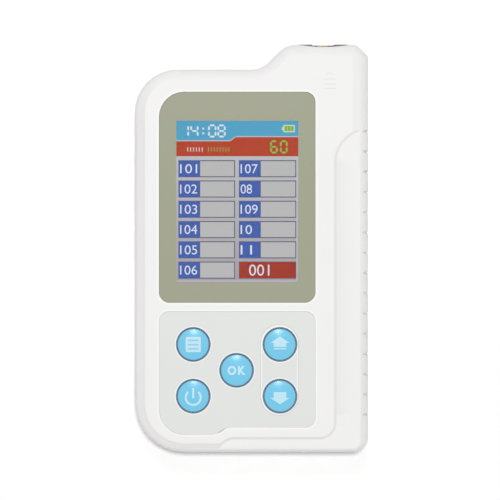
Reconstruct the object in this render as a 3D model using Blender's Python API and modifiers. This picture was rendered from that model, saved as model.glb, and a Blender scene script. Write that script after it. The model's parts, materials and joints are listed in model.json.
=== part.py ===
# Handheld urine analyzer: moulded case, keypad, display, and a motor-driven test strip tray.
# Metres, +Z up out of the screen, +Y towards the tray's mouth, origin under the case's middle.

import math

import bmesh
import bpy
from mathutils import Matrix, Vector

MM = 0.001

# Clearances
SEAT_GAP = 0.3 * MM
SIDE_GAP = 0.25 * MM
SLIDE_GAP = 0.3 * MM
CUT = 1.0 * MM

# Case: its width and length come from the screen, the keypad and the margins round them
LEFT_MARGIN = 7.7 * MM
RIGHT_MARGIN = 16.5 * MM
FOOT_MARGIN = 5.57 * MM
BODY_THICKNESS = 30.0 * MM
FOOT_STAND = 0.6 * MM
SPLIT_Z = 15.0 * MM
WALL = 2.0 * MM
FRONT_WALL = 2.2 * MM
TONGUE_HEIGHT = 1.1 * MM
TONGUE_WALL = 0.85 * MM

# Case outline: a tower for the tray rises over a lower shoulder
TOWER_RISE = 7.73 * MM
TOWER_WIDTH = 25.5 * MM
TOWER_CHAMFER = 3.6 * MM
CHAMFER_EASE = 2.5 * MM
SLOPE_RADIUS = 7.1 * MM
SHOULDER_RADIUS = 13.3 * MM
HEEL_RADIUS = 15.5 * MM
TOE_RADIUS = 4.4 * MM
ARC_STEP = math.radians(11.25)

# Width of the front edge's rounding on each side, and of the back's all round
ROUND_BOTTOM = 3.0 * MM
ROUND_RIGHT = 5.0 * MM
ROUND_TOWER = 4.0 * MM
ROUND_SLOPE = 3.4 * MM
ROUND_LEFT = 3.4 * MM
ROUND_BACK = 3.0 * MM
LEAST_ROUNDING = 0.4 * MM
LEAST_RADIUS = 0.05 * MM
ROUND_STEPS = 6
INNER_ROUND_STEPS = 3

# Grip side: a shallow step down from the front plateau, and ticks along the right wall
STEP_DROP = 0.5 * MM
STEP_SLANT = 0.8 * MM
STEP_INSET = 9.95 * MM
STEP_START_DROP = 31.3 * MM
STEP_START_RADIUS = 9.5 * MM
STEP_START_SLOPE = math.radians(32)
STEP_MARGIN = 4.1 * MM
STEP_CORNER_RADIUS = 5.3 * MM
STEP_END_GAP = 0.6 * MM
STEP_REACH = 12.0 * MM
TICK_PITCH = 6.27 * MM
TICK_DROP = 27.1 * MM
TICK_FOOT = 11.3 * MM
TICK_WIDTH = 0.5 * MM
TICK_DEPTH = 0.35 * MM
TICK_REACH = 1.7 * MM
TICK_END_Z = 2.2 * MM

# Screen lens and display
LENS_WIDTH = 48.4 * MM
LENS_HEIGHT = 65.2 * MM
LENS_DROP = 7.2 * MM
LENS_RADIUS = 3.1 * MM
LENS_BIG_RADIUS = 7.7 * MM
LENS_THICKNESS = 0.8 * MM
LENS_SUNK = 0.1 * MM
WINDOW_SIDE = 5.3 * MM
WINDOW_TOP = 8.9 * MM
WINDOW_FOOT = 6.1 * MM
DISPLAY_SIDE = 2.6 * MM
DISPLAY_TOP = 2.4 * MM
DISPLAY_FOOT = 7.0 * MM
PANEL_THICKNESS = 1.2 * MM
BACKLIGHT_THICKNESS = 1.3 * MM
BACKLIGHT_RIM = 0.8 * MM
BACKLIGHT_POCKET = 0.4 * MM
FLEX_WIDTH = 14.0 * MM
FLEX_THICKNESS = 0.3 * MM
FLEX_REACH = 1.9 * MM
FLEX_BEND = 0.5 * MM
FLEX_FOOT = 0.35 * MM
FLEX_CONNECTOR_SIDE = 1.5 * MM
FLEX_CONNECTOR_DEPTH = 2.6 * MM
FLEX_CONNECTOR_HEIGHT = 1.2 * MM

# Keypad
KEYPAD_DROP = 2.7 * MM
KEYPAD_HEIGHT = 35.9 * MM
KEYPAD_TAIL = 2.3 * MM
KEYPAD_TAIL_X = 20.6 * MM
KEYPAD_TAIL_RUN = 3.1 * MM
KEYPAD_TAIL_RADIUS = 4.3 * MM
KEYPAD_RADIUS = 2.9 * MM
KEYPAD_HEEL_RADIUS = 7.9 * MM
KEYPAD_THICKNESS = 0.35 * MM
KEY_COLUMNS = 26.8 * MM
KEY_ROWS = 16.0 * MM
KEY_SHIFT = 0.2 * MM
KEY_CENTRE_DROP = 18.2 * MM
KEY_RADIUS = 5.0 * MM
KEY_DOME = 0.55 * MM
KEY_EASE = 0.13 * MM
KEY_PROUD = 0.25 * MM
KEY_FLANGE = 1.1 * MM
KEY_FLANGE_THICKNESS = 0.8 * MM
KEY_STEM_RADIUS = 1.6 * MM
KEY_STEPS = 20
SNAP_RADIUS = 2.7 * MM
SNAP_HEIGHT = 0.7 * MM
SNAP_SHEET = 0.2 * MM
SNAP_STEPS = 12

# Main board and what it carries
BOARD_THICKNESS = 1.6 * MM
BOARD_MARGIN = 4.0 * MM
BOARD_FOOT = 4.5 * MM
BOARD_SIDE_GAP = 0.8 * MM
BOARD_HEAD_DROP = 9.3 * MM
BOARD_CORNER = 8.5 * MM
BOARD_HEEL = 12.0 * MM
SOCKET_WIDTH = 7.5 * MM
SOCKET_DEPTH = 5.4 * MM
SOCKET_HEIGHT = 2.6 * MM
SOCKET_SKIN = 0.35 * MM
SOCKET_RECESS = 1.0 * MM
SOCKET_FLARE = 1.2 * MM
SOCKET_FLARE_DEPTH = 0.7 * MM
SOCKET_TONGUE_INSET = 1.2 * MM
SOCKET_TONGUE_BACK = 0.6 * MM
SOCKET_TONGUE_HALF = 0.3 * MM
CHIP_SIZE = 10.0 * MM
CHIP_THICKNESS = 1.2 * MM
CHIP_LEFT = 26.0 * MM
CHIP_DROP = 53.0 * MM
BUZZER_RADIUS = 4.5 * MM
BUZZER_HEIGHT = 4.0 * MM
BUZZER_HOLE = 0.8 * MM
BUZZER_LEFT = 14.0 * MM
BUZZER_FOOT = 19.0 * MM

# Tray, its guide and its drive
TRAY_INSET = 13.8 * MM
TRAY_WIDTH = 10.0 * MM
TRAY_THICKNESS = 2.4 * MM
TRAY_RISE = 1.0 * MM
RUNNER_WIDTH = 1.2 * MM
RUNNER_HEIGHT = 1.2 * MM
STRIP_WIDTH = 5.4 * MM
STRIP_DEPTH = 1.0 * MM
CHANNEL_END = 5.2 * MM
TRAY_TAIL = 1.2 * MM
TAB_WIDTH = 15.6 * MM
TAB_HEIGHT = 6.2 * MM
TAB_THICKNESS = 2.8 * MM
TAB_PROUD = 0.85 * MM
TAB_NOTCH = 5.0 * MM
TAB_NOTCH_DEPTH = 1.5 * MM
MOUTH_WIDTH = 16.8 * MM
MOUTH_HEIGHT = 7.0 * MM
SCOOP_CHORD = 16.6 * MM
SCOOP_DEPTH = 0.95 * MM
SCOOP_SEGMENTS = 90
GEAR_MODULE = 0.6 * MM
PINION_TEETH = 12
PRESSURE_ANGLE = math.radians(20)
RACK_ADDENDUM = 0.7
GEAR_ROOT = 1.25
PINION_ADDENDUM = 0.65
PINION_DEDENDUM = 1.05
FLANK_STEPS = 2
BACKLASH = 0.12 * MM
RACK_WIDTH = 4.0 * MM
RACK_BACKING = 0.7 * MM
RACK_SPARE_TEETH = 1
RACK_REAR_ROOM = 15.0 * MM
PINION_SETBACK = 37.3 * MM
PINION_WIDTH = 3.6 * MM
SHAFT_RADIUS = 1.5 * MM
PRESS_GAP = 0.05 * MM
GUIDE_WALL = 1.2 * MM
GUIDE_LIP = 1.2 * MM
GUIDE_LIP_HEIGHT = 1.0 * MM
GUIDE_FLOOR = 1.2 * MM
GUIDE_FLOOR_DROP = 3.1 * MM
GUIDE_RIBS = (12.0 * MM, -26.0 * MM, -56.0 * MM)
GUIDE_FRONT_GAP = 0.9 * MM
GUIDE_REAR_GAP = 1.2 * MM
EAR_LENGTH = 6.0 * MM
EAR_WIDTH = 5.5 * MM
EAR_REAR = 11.8 * MM
EAR_FRONT = 16.1 * MM
EAR_THICKNESS = 1.4 * MM
MOTOR_LENGTH = 24.0 * MM
MOTOR_HEIGHT = 10.0 * MM
MOTOR_WIDTH = 12.0 * MM
GEARBOX_LENGTH = 9.0 * MM
MOTOR_NOSE = 0.8 * MM
MOTOR_NOSE_WALL = 0.9 * MM
CAN_INSET = 0.3 * MM
MOTOR_CAP = 2.0 * MM
CRADLE_SETBACK = 2.0 * MM
PAD_LENGTH = 6.0 * MM
PAD_THICKNESS = 0.5 * MM

# Optical head over the tray
HEAD_LENGTH = 20.0 * MM
HEAD_SETBACK = 69.3 * MM
HEAD_ROUNDING = 1.0 * MM
HEAD_BORE = 1.6 * MM
HEAD_SLANT = math.radians(45)
LAMP_BORE = 1.15 * MM
LAMP_LENGTH = 2.6 * MM
LAMP_RISE = 2.2 * MM
SENSOR_BOARD_THICKNESS = 1.2 * MM
SENSOR_BOARD_WIDTH = 10.2 * MM
DETECTOR_RADIUS = 1.3 * MM
DETECTOR_LENGTH = 2.2 * MM

# Battery
BATTERY_THICKNESS = 6.0 * MM
BATTERY_LEFT = 7.0 * MM
BATTERY_RIGHT = 5.8 * MM
BATTERY_FOOT = 15.0 * MM
BATTERY_HEAD = 22.0 * MM
BATTERY_RIB = 1.2 * MM
BATTERY_RIB_HEIGHT = 4.0 * MM
BATTERY_RIB_GAP = 7.8 * MM
BATTERY_ROUNDING = 1.5 * MM
PLUG_LEFT = 9.0 * MM
PLUG_REACH = 7.0 * MM
PLUG_WIDTH = 6.0 * MM
PLUG_DEPTH = 4.5 * MM
PLUG_HEIGHT = 4.0 * MM
LEAD_RADIUS = 0.8 * MM
LEAD_STEPS = 10
LEAD_DROP = 1.2 * MM

# Fasteners and feet
BOSS_RADIUS = 2.75 * MM
SCREW_RADIUS = 1.0 * MM
SCREW_HEAD_RADIUS = 1.9 * MM
SCREW_HEAD_HEIGHT = 1.3 * MM
SCREW_BITE = 6.0 * MM
COUNTERBORE_DEPTH = 8.0 * MM
SMALL_SCREW_RADIUS = 0.75 * MM
SMALL_HEAD_RADIUS = 1.5 * MM
SMALL_HEAD_HEIGHT = 0.9 * MM
SMALL_BITE = 2.2 * MM
POST_RADIUS = 1.8 * MM
SCREW_SIDE = 7.9 * MM
SCREW_TOE = 6.5 * MM
SCREW_TOWER_X = 0.4 * MM
SCREW_TOWER_Y = 10.5 * MM
POST_SIDE_GAP = 3.8 * MM
POST_DROP = 8.9 * MM
POST_HIGH_X = 27.9 * MM
POST_FOOT = 3.7 * MM
POST_HEEL = 8.5 * MM
FOOT_RADIUS = 3.5 * MM
FOOT_STEPS = 18
FOOT_THICKNESS = 1.2 * MM
FOOT_EASE = 0.3 * MM
FOOT_SIDE = 10.0 * MM
FOOT_SHOULDER = 19.3 * MM
FOOT_TOWER_X = 8.0 * MM
FOOT_TOWER_Y = 13.0 * MM
FOOT_TOE = 9.0 * MM
FOOT_HEEL = 17.0 * MM
FOOT_LEFT = 14.0 * MM

# Places worked out from the sizes above
BODY_WIDTH = LEFT_MARGIN + LENS_WIDTH + RIGHT_MARGIN
SCREEN_AND_KEYS = LENS_DROP + LENS_HEIGHT + KEYPAD_DROP + KEYPAD_HEIGHT + KEYPAD_TAIL
BODY_LENGTH = TOWER_RISE + SCREEN_AND_KEYS + FOOT_MARGIN
LEFT = -BODY_WIDTH / 2
RIGHT = BODY_WIDTH / 2
TOP = BODY_LENGTH / 2
BOTTOM = -BODY_LENGTH / 2
FRONT_Z = BODY_THICKNESS
BACK_Z = FOOT_STAND
CEILING_Z = FRONT_Z - FRONT_WALL
FLOOR_Z = BACK_Z + WALL
FRONT_RIM = SPLIT_Z + SEAT_GAP / 2
REAR_RIM = SPLIT_Z - SEAT_GAP / 2
SHOULDER_Y = TOP - TOWER_RISE
SLOPE_X = RIGHT - TOWER_WIDTH
TICK_FIRST_Y = TOP - TICK_DROP
TICK_COUNT = math.floor((TICK_FIRST_Y - BOTTOM - TICK_FOOT) / TICK_PITCH) + 1
LENS_LEFT = LEFT + LEFT_MARGIN
LENS_RIGHT = LENS_LEFT + LENS_WIDTH
LENS_TOP = SHOULDER_Y - LENS_DROP
LENS_FOOT = LENS_TOP - LENS_HEIGHT
LENS_RECESS = LENS_SUNK + LENS_THICKNESS + SEAT_GAP
WINDOW_LEFT = LENS_LEFT + WINDOW_SIDE
WINDOW_RIGHT = LENS_RIGHT - WINDOW_SIDE
WINDOW_HIGH = LENS_TOP - WINDOW_TOP
WINDOW_LOW = LENS_FOOT + WINDOW_FOOT
PANEL_LEFT = WINDOW_LEFT - DISPLAY_SIDE
PANEL_RIGHT = WINDOW_RIGHT + DISPLAY_SIDE
PANEL_HIGH = WINDOW_HIGH + DISPLAY_TOP
PANEL_LOW = WINDOW_LOW - DISPLAY_FOOT
PANEL_TOP = CEILING_Z - SEAT_GAP
BACKLIGHT_TOP = PANEL_TOP - PANEL_THICKNESS - SEAT_GAP
BACKLIGHT_UNDER = BACKLIGHT_TOP - BACKLIGHT_THICKNESS
BOARD_Z = BACKLIGHT_UNDER - SEAT_GAP
BOARD_UNDER = BOARD_Z - BOARD_THICKNESS
KEYPAD_TOP_Y = LENS_FOOT - KEYPAD_DROP
KEYPAD_RECESS = KEYPAD_THICKNESS + SEAT_GAP
KEY_X = (LENS_LEFT + LENS_RIGHT) / 2 - KEY_SHIFT
KEY_Y = KEYPAD_TOP_Y - KEY_CENTRE_DROP
SNAP_TOP = BOARD_Z + SEAT_GAP + SNAP_HEIGHT
TRAY_X = RIGHT - TRAY_INSET
TRAY_TOP = SPLIT_Z + TRAY_RISE
TRAY_UNDER = TRAY_TOP - TRAY_THICKNESS
TAB_FRONT_Y = TOP + TAB_PROUD
TAB_Y = TAB_FRONT_Y - TAB_THICKNESS
RACK_ROOT = TRAY_UNDER - RACK_BACKING
PITCH_LINE = RACK_ROOT - GEAR_ROOT * GEAR_MODULE
PITCH_RADIUS = PINION_TEETH * GEAR_MODULE / 2
PINION_Y = TOP - PINION_SETBACK
PINION_Z = PITCH_LINE - PITCH_RADIUS
TOOTH_PITCH = math.pi * GEAR_MODULE
RACK_TEETH_BEHIND = math.floor((PINION_Y - BOTTOM - RACK_REAR_ROOM) / TOOTH_PITCH)
RACK_REAR_Y = PINION_Y - RACK_TEETH_BEHIND * TOOTH_PITCH
TRAY_REAR_Y = RACK_REAR_Y - TOOTH_PITCH - TRAY_TAIL
CHANNEL_REAR_Y = TRAY_REAR_Y + CHANNEL_END
RAIL_HALF = TRAY_WIDTH / 2 + RUNNER_WIDTH + SLIDE_GAP
GUIDE_HALF = RAIL_HALF + GUIDE_WALL
GUIDE_REAR_Y = TRAY_REAR_Y - GUIDE_REAR_GAP
GUIDE_FRONT_Y = TOP - WALL - GUIDE_FRONT_GAP
GUIDE_TOP = TRAY_UNDER + RUNNER_HEIGHT + SLIDE_GAP + GUIDE_LIP_HEIGHT
LEDGE_TOP = TRAY_UNDER - SLIDE_GAP
GUIDE_UNDER = LEDGE_TOP - GUIDE_FLOOR_DROP - GUIDE_FLOOR
GUIDE_LEFT = TRAY_X - GUIDE_HALF
EAR_X = GUIDE_LEFT - EAR_WIDTH / 2
EAR_YS = (GUIDE_REAR_Y + EAR_REAR, GUIDE_FRONT_Y - EAR_FRONT)
MOTOR_FACE_X = GUIDE_LEFT - SEAT_GAP
HEAD_Y = TOP - HEAD_SETBACK
HEAD_Z = GUIDE_TOP + SEAT_GAP
HEAD_TOP = BACKLIGHT_UNDER - SENSOR_BOARD_THICKNESS - 1.3 * SEAT_GAP
BATTERY_Z = FLOOR_Z + SEAT_GAP
BATTERY_LOW = (LEFT + BATTERY_LEFT, BOTTOM + BATTERY_FOOT)
BATTERY_HIGH = (GUIDE_LEFT - BATTERY_RIGHT, PINION_Y - BATTERY_HEAD)
BOARD_LEFT = LEFT + BOARD_MARGIN
BOARD_RIGHT = GUIDE_LEFT - BOARD_SIDE_GAP
BOARD_LOW = BOTTOM + BOARD_FOOT
BOARD_HIGH = SHOULDER_Y - BOARD_HEAD_DROP
SHELF_Z = BACK_Z + COUNTERBORE_DEPTH
CASE_SCREWS = (
    (LEFT + SCREW_SIDE, SHOULDER_Y - SCREW_SIDE),
    (SLOPE_X + SCREW_TOWER_X, TOP - SCREW_TOWER_Y),
    (RIGHT - SCREW_TOE, BOTTOM + SCREW_TOE),
    (LEFT + SCREW_SIDE, BOTTOM + SCREW_SIDE),
)
BOARD_SCREWS = (
    (PANEL_LEFT - POST_SIDE_GAP, PANEL_HIGH - POST_DROP),
    (POST_HIGH_X + PANEL_LEFT, PANEL_HIGH + POST_RADIUS + SIDE_GAP),
    (BOARD_RIGHT - POST_RADIUS, BOARD_LOW + POST_FOOT),
    (PANEL_LEFT - POST_SIDE_GAP, BOARD_LOW + BOARD_HEEL + POST_HEEL),
)
FEET = (
    (LEFT + FOOT_SIDE, SHOULDER_Y - FOOT_SHOULDER),
    (RIGHT - FOOT_TOWER_X, TOP - FOOT_TOWER_Y),
    (RIGHT - FOOT_TOE, BOTTOM + FOOT_HEEL),
    (LEFT + FOOT_LEFT, BOTTOM + FOOT_HEEL),
)

PART = "urine_analyzer"


def start_scene():
    for old in list(bpy.data.objects):
        bpy.data.objects.remove(old, do_unlink=True)
    for name in (PART, "cutters"):
        collection = bpy.data.collections.new(name)
        bpy.context.scene.collection.children.link(collection)
    bpy.data.collections["cutters"].hide_render = True


def plain_material(name, colour, roughness, metallic=0.0):
    material = bpy.data.materials.new(name)
    material.use_nodes = True
    shader = material.node_tree.nodes["Principled BSDF"]
    shader.inputs["Base Color"].default_value = (*colour, 1.0)
    shader.inputs["Roughness"].default_value = roughness
    shader.inputs["Metallic"].default_value = metallic
    material.diffuse_color = (*colour, 1.0)
    return material


def part_object(name, bm, material, smooth_angle=None):
    """Puts a bmesh into the part's collection as one named sub-part."""
    obj = mesh_object(name, bm, PART)
    obj.data.materials.append(material)
    if smooth_angle:
        obj.data.shade_smooth()
        obj.data.set_sharp_from_angle(angle=math.radians(smooth_angle))
    return obj


def mesh_object(name, bm, collection):
    mesh = bpy.data.meshes.new(name)
    bmesh.ops.recalc_face_normals(bm, faces=bm.faces[:])
    bm.to_mesh(mesh)
    bm.free()
    obj = bpy.data.objects.new(name, mesh)
    bpy.data.collections[collection].objects.link(obj)
    return obj


def cutter(name, bm):
    obj = mesh_object(name, bm, "cutters")
    obj.hide_render = True
    obj.display_type = "WIRE"
    return obj


def combine(obj, other, operation):
    modifier = obj.modifiers.new(other.name, "BOOLEAN")
    modifier.operation = operation
    modifier.solver = "EXACT"
    modifier.object = other


def cut(obj, name, bm):
    combine(obj, cutter(name, bm), "DIFFERENCE")


def join(obj, name, bm):
    combine(obj, cutter(name, bm), "UNION")


def add_box(bm, low, high):
    low = Vector(low)
    high = Vector(high)
    size = high - low
    place = Matrix.Translation((low + high) / 2) @ Matrix.Diagonal((*size, 1.0))
    return bmesh.ops.create_cube(bm, size=1.0, matrix=place)["verts"]


def box(low, high):
    bm = bmesh.new()
    add_box(bm, low, high)
    return bm


def add_rod(bm, centre, radius, low, high, segments=20, turn=None):
    """A cylinder along Z from low to high, or turned about its centre."""
    place = Matrix.Translation((centre[0], centre[1], (low + high) / 2))
    if turn:
        place = place @ turn
    bmesh.ops.create_cone(
        bm,
        cap_ends=True,
        segments=segments,
        radius1=radius,
        radius2=radius,
        depth=high - low,
        matrix=place,
    )


def rods(places, radius, low, high, segments=20):
    bm = bmesh.new()
    for place in places:
        add_rod(bm, place, radius, low, high, segments)
    return bm


def arc_count(turn):
    return max(2, math.ceil(round(abs(turn) / ARC_STEP, 3)))


def rounded(corners):
    """Points of an outline whose corners are (x, y, radius), anticlockwise, with the share of
    each point along its corner's arc."""
    points = []
    for index, (x, y, radius) in enumerate(corners):
        here = Vector((x, y))
        before = (here - Vector(corners[index - 1][:2])).normalized()
        after = (Vector(corners[(index + 1) % len(corners)][:2]) - here).normalized()
        if radius == 0:
            points.append((here, index, 0.5))
            continue
        turn = before.angle_signed(after) * -1
        reach = radius * math.tan(abs(turn) / 2)
        side = math.copysign(1, turn)
        start = here - before * reach
        centre = start + side * radius * Vector((-before.y, before.x))
        steps = arc_count(turn)
        for step in range(steps + 1):
            spoke = start - centre
            spoke.rotate(Matrix.Rotation(turn * step / steps, 2))
            points.append((centre + spoke, index, step / steps))
    return points


def inset_corners(corners, insets):
    """The same outline with each edge, from a corner to the next, moved inwards by its own inset."""
    moved = []
    for index, (x, y, radius) in enumerate(corners):
        here = Vector((x, y))
        before = (here - Vector(corners[index - 1][:2])).normalized()
        after = (Vector(corners[(index + 1) % len(corners)][:2]) - here).normalized()
        first = insets[index - 1]
        second = insets[index]
        # The corner moves so that its distances to the two old edges are their insets
        cross = before.x * after.y - before.y * after.x
        shift = (after * first - before * second) / cross
        side = math.copysign(1, cross)
        new_radius = radius and max(radius - side * (first + second) / 2, LEAST_RADIUS)
        spot = here + shift
        moved.append((spot.x, spot.y, new_radius))
    return moved


def slab(corners, low, high, inset=0.0):
    """An outline with rounded corners, as a plate from low to high."""
    if inset:
        corners = inset_corners(corners, [inset] * len(corners))
    outline = [(p.x, p.y, low) for p, _, _ in rounded(corners)]
    bm = bmesh.new()
    face = bm.faces.new([bm.verts.new(point) for point in outline])
    raised = bmesh.ops.extrude_face_region(bm, geom=[face])["geom"]
    top = [element for element in raised if isinstance(element, bmesh.types.BMVert)]
    bmesh.ops.translate(bm, verts=top, vec=(0, 0, high - low))
    return bm


def prism(points, low, high, axis="Y"):
    """A sharp outline in XZ drawn out along Y, or one in YZ drawn out along X."""
    bm = bmesh.new()
    if axis == "Y":
        verts = [bm.verts.new((a, low, b)) for a, b in points]
        along = (0, high - low, 0)
    else:
        verts = [bm.verts.new((low, a, b)) for a, b in points]
        along = (high - low, 0, 0)
    raised = bmesh.ops.extrude_face_region(bm, geom=[bm.faces.new(verts)])["geom"]
    far = [element for element in raised if isinstance(element, bmesh.types.BMVert)]
    bmesh.ops.translate(bm, verts=far, vec=along)
    return bm


def loft(rings):
    """A closed body through rings of equally many points, from the lowest to the highest."""
    bm = bmesh.new()
    loops = [[bm.verts.new(point) for point in ring] for ring in rings]
    for below, above in zip(loops, loops[1:]):
        for index in range(len(below)):
            after = (index + 1) % len(below)
            bm.faces.new((below[index], below[after], above[after], above[index]))
    bm.faces.new(loops[0])
    bm.faces.new(loops[-1])
    return bm


def turned(name, profile, at, material, steps=24):
    """A turned piece: a profile of (radius, height) from its top to its foot, round its own Z axis."""
    bm = bmesh.new()
    verts = [bm.verts.new((radius, 0, height)) for radius, height in profile]
    for upper, lower in zip(verts, verts[1:]):
        bm.edges.new((upper, lower))
    obj = part_object(name, bm, material)
    screw = obj.modifiers.new("Turn", "SCREW")
    screw.steps = steps
    screw.render_steps = steps
    screw.use_merge_vertices = True
    screw.merge_threshold = 0.00001
    screw.use_smooth_shade = True
    obj.location = at
    return obj


def case_corners():
    """The case's outline seen from the front, anticlockwise from its bottom left."""
    return [
        (LEFT, BOTTOM, HEEL_RADIUS),
        (RIGHT, BOTTOM, TOE_RADIUS),
        (RIGHT, TOP - TOWER_CHAMFER, 0),
        (RIGHT - TOWER_CHAMFER, TOP, CHAMFER_EASE),
        (SLOPE_X, TOP, SLOPE_RADIUS),
        (SLOPE_X - TOWER_RISE, SHOULDER_Y, SLOPE_RADIUS),
        (LEFT, SHOULDER_Y, SHOULDER_RADIUS),
    ]


FRONT_ROUNDS = (
    ROUND_BOTTOM,
    ROUND_RIGHT,
    ROUND_TOWER,
    ROUND_TOWER,
    ROUND_SLOPE,
    ROUND_SLOPE,
    ROUND_LEFT,
)
BACK_ROUNDS = (ROUND_BACK,) * len(FRONT_ROUNDS)


def case_ring(inset, edge_z, rounds, angle, towards):
    """One section of the case's rounded edge. Each side has its own rounding, and the height
    follows it round the corners."""
    insets = [inset + width * (1 - math.cos(angle)) for width in rounds]
    ring = []
    for point, corner, share in rounded(inset_corners(case_corners(), insets)):
        width = rounds[corner - 1] * (1 - share) + rounds[corner] * share
        height = edge_z - towards * width * (1 - math.sin(angle))
        ring.append((point.x, point.y, height))
    return ring


def edge_rings(inset, edge_z, rounds, towards, steps=ROUND_STEPS):
    angles = [math.pi / 2 * step / steps for step in range(steps + 1)]
    return [case_ring(inset, edge_z, rounds, angle, towards) for angle in angles]


def level_ring(inset, height):
    return case_ring(inset, height, BACK_ROUNDS, 0.0, 0)


def narrowed(rounds, inset):
    """The roundings of a surface that lies further in by the inset."""
    return tuple(max(width - inset, LEAST_ROUNDING) for width in rounds)


def front_solid(inset=0.0, front_z=FRONT_Z, low=FRONT_RIM, steps=ROUND_STEPS):
    rounds = narrowed(FRONT_ROUNDS, max(inset, 0.0))
    return loft([level_ring(inset, low)] + edge_rings(inset, front_z, rounds, 1, steps))


def back_solid(inset=0.0, back_z=BACK_Z, high=REAR_RIM, steps=ROUND_STEPS):
    rounds = narrowed(BACK_ROUNDS, max(inset, 0.0))
    return loft(edge_rings(inset, back_z, rounds, -1, steps)[::-1] + [level_ring(inset, high)])


def band(outer, inner, low, high):
    """A wall that follows the case's outline, between two insets."""
    bm = loft([level_ring(outer, low), level_ring(outer, high)])
    hollow = loft([level_ring(inner, low - CUT), level_ring(inner, high + CUT)])
    return bm, hollow


def step_corners():
    """The stepped-down grip side: from the right edge, down and round to the bottom edge."""
    step_x = RIGHT - STEP_INSET
    start_y = TOP - STEP_START_DROP
    step_y = BOTTOM + STEP_MARGIN
    end_x = LENS_LEFT + KEYPAD_TAIL_X + STEP_END_GAP
    far_x = RIGHT + STEP_REACH
    far_y = BOTTOM - STEP_MARGIN
    slope_rise = (far_x - step_x) * math.tan(STEP_START_SLOPE)
    return [
        (far_x, start_y + slope_rise, 0),
        (step_x, start_y, STEP_START_RADIUS),
        (step_x, step_y, STEP_CORNER_RADIUS),
        (end_x, step_y, STEP_CORNER_RADIUS),
        (end_x - (step_y - far_y), far_y, 0),
        (far_x, far_y, 0),
    ]


def grip_step_cutter():
    """What lies over the grip side's lower surface, with the step's slanted face. The surface is
    level, so the step runs out where it meets the case's rounded edges."""
    corners = step_corners()
    level = FRONT_Z - STEP_DROP
    over = FRONT_Z + CUT
    slant = STEP_SLANT * (over - level) / STEP_DROP
    rings = []
    for height, spread in ((level, 0.0), (over, slant)):
        outline = rounded(inset_corners(corners, [-spread] * len(corners)))
        rings.append([(p.x, p.y, height) for p, _, _ in outline])
    return cutter("grip_step", loft(rings))


def grip_tick_cutter():
    """Narrow slots along the right wall whose floors follow the case's rounded edges."""
    bm = bmesh.new()
    for index in range(TICK_COUNT):
        y = TICK_FIRST_Y - index * TICK_PITCH
        low = (RIGHT - TICK_REACH, y - TICK_WIDTH / 2, TICK_END_Z)
        add_box(bm, low, (RIGHT + CUT, y + TICK_WIDTH / 2, FRONT_Z))
    ticks = cutter("grip_ticks", bm)
    front = narrowed(FRONT_ROUNDS, TICK_DEPTH)
    back = narrowed(BACK_ROUNDS, TICK_DEPTH)
    rings = edge_rings(TICK_DEPTH, BACK_Z + TICK_DEPTH, back, -1, INNER_ROUND_STEPS)[::-1]
    rings += edge_rings(TICK_DEPTH, FRONT_Z - TICK_DEPTH, front, 1, INNER_ROUND_STEPS)
    combine(ticks, cutter("grip_core", loft(rings)), "DIFFERENCE")
    return ticks


def lens_corners():
    return [
        (LENS_LEFT, LENS_FOOT, LENS_RADIUS),
        (LENS_RIGHT, LENS_FOOT, LENS_RADIUS),
        (LENS_RIGHT, LENS_TOP, LENS_RADIUS),
        (LENS_LEFT, LENS_TOP, LENS_BIG_RADIUS),
    ]


def keypad_corners():
    low = KEYPAD_TOP_Y - KEYPAD_HEIGHT
    tail_x = LENS_LEFT + KEYPAD_TAIL_X
    return [
        (LENS_LEFT, low - KEYPAD_TAIL, KEYPAD_HEEL_RADIUS),
        (tail_x - KEYPAD_TAIL_RUN, low - KEYPAD_TAIL, KEYPAD_TAIL_RADIUS),
        (tail_x, low, KEYPAD_TAIL_RADIUS),
        (LENS_RIGHT, low, KEYPAD_RADIUS),
        (LENS_RIGHT, KEYPAD_TOP_Y, KEYPAD_RADIUS),
        (LENS_LEFT, KEYPAD_TOP_Y, KEYPAD_RADIUS),
    ]


def key_places():
    half_x = KEY_COLUMNS / 2
    half_y = KEY_ROWS / 2
    return {
        "menu": (KEY_X - half_x, KEY_Y + half_y),
        "up": (KEY_X + half_x, KEY_Y + half_y),
        "ok": (KEY_X, KEY_Y),
        "power": (KEY_X - half_x, KEY_Y - half_y),
        "down": (KEY_X + half_x, KEY_Y - half_y),
    }


def mouth_box():
    half = MOUTH_WIDTH / 2
    low = (TRAY_X - half, TOP - WALL - CUT, SPLIT_Z - MOUTH_HEIGHT / 2)
    high = (TRAY_X + half, TOP + CUT, SPLIT_Z + MOUTH_HEIGHT / 2)
    return box(low, high)


def scoop():
    """The shallow finger dip in the front edge over the tray's mouth."""
    radius = (SCOOP_CHORD**2 / 4 + SCOOP_DEPTH**2) / (2 * SCOOP_DEPTH)
    bm = bmesh.new()
    centre = (TRAY_X, TOP - SCOOP_DEPTH + radius)
    add_rod(bm, centre, radius, SPLIT_Z, FRONT_Z + CUT, SCOOP_SEGMENTS)
    return bm


def socket_box(grow_side, near_y, far_y):
    half = SOCKET_WIDTH / 2 + grow_side
    low = BOARD_UNDER - SEAT_GAP - SOCKET_HEIGHT - grow_side
    return box((-half, near_y, low), (half, far_y, BOARD_UNDER - SEAT_GAP + grow_side))


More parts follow.
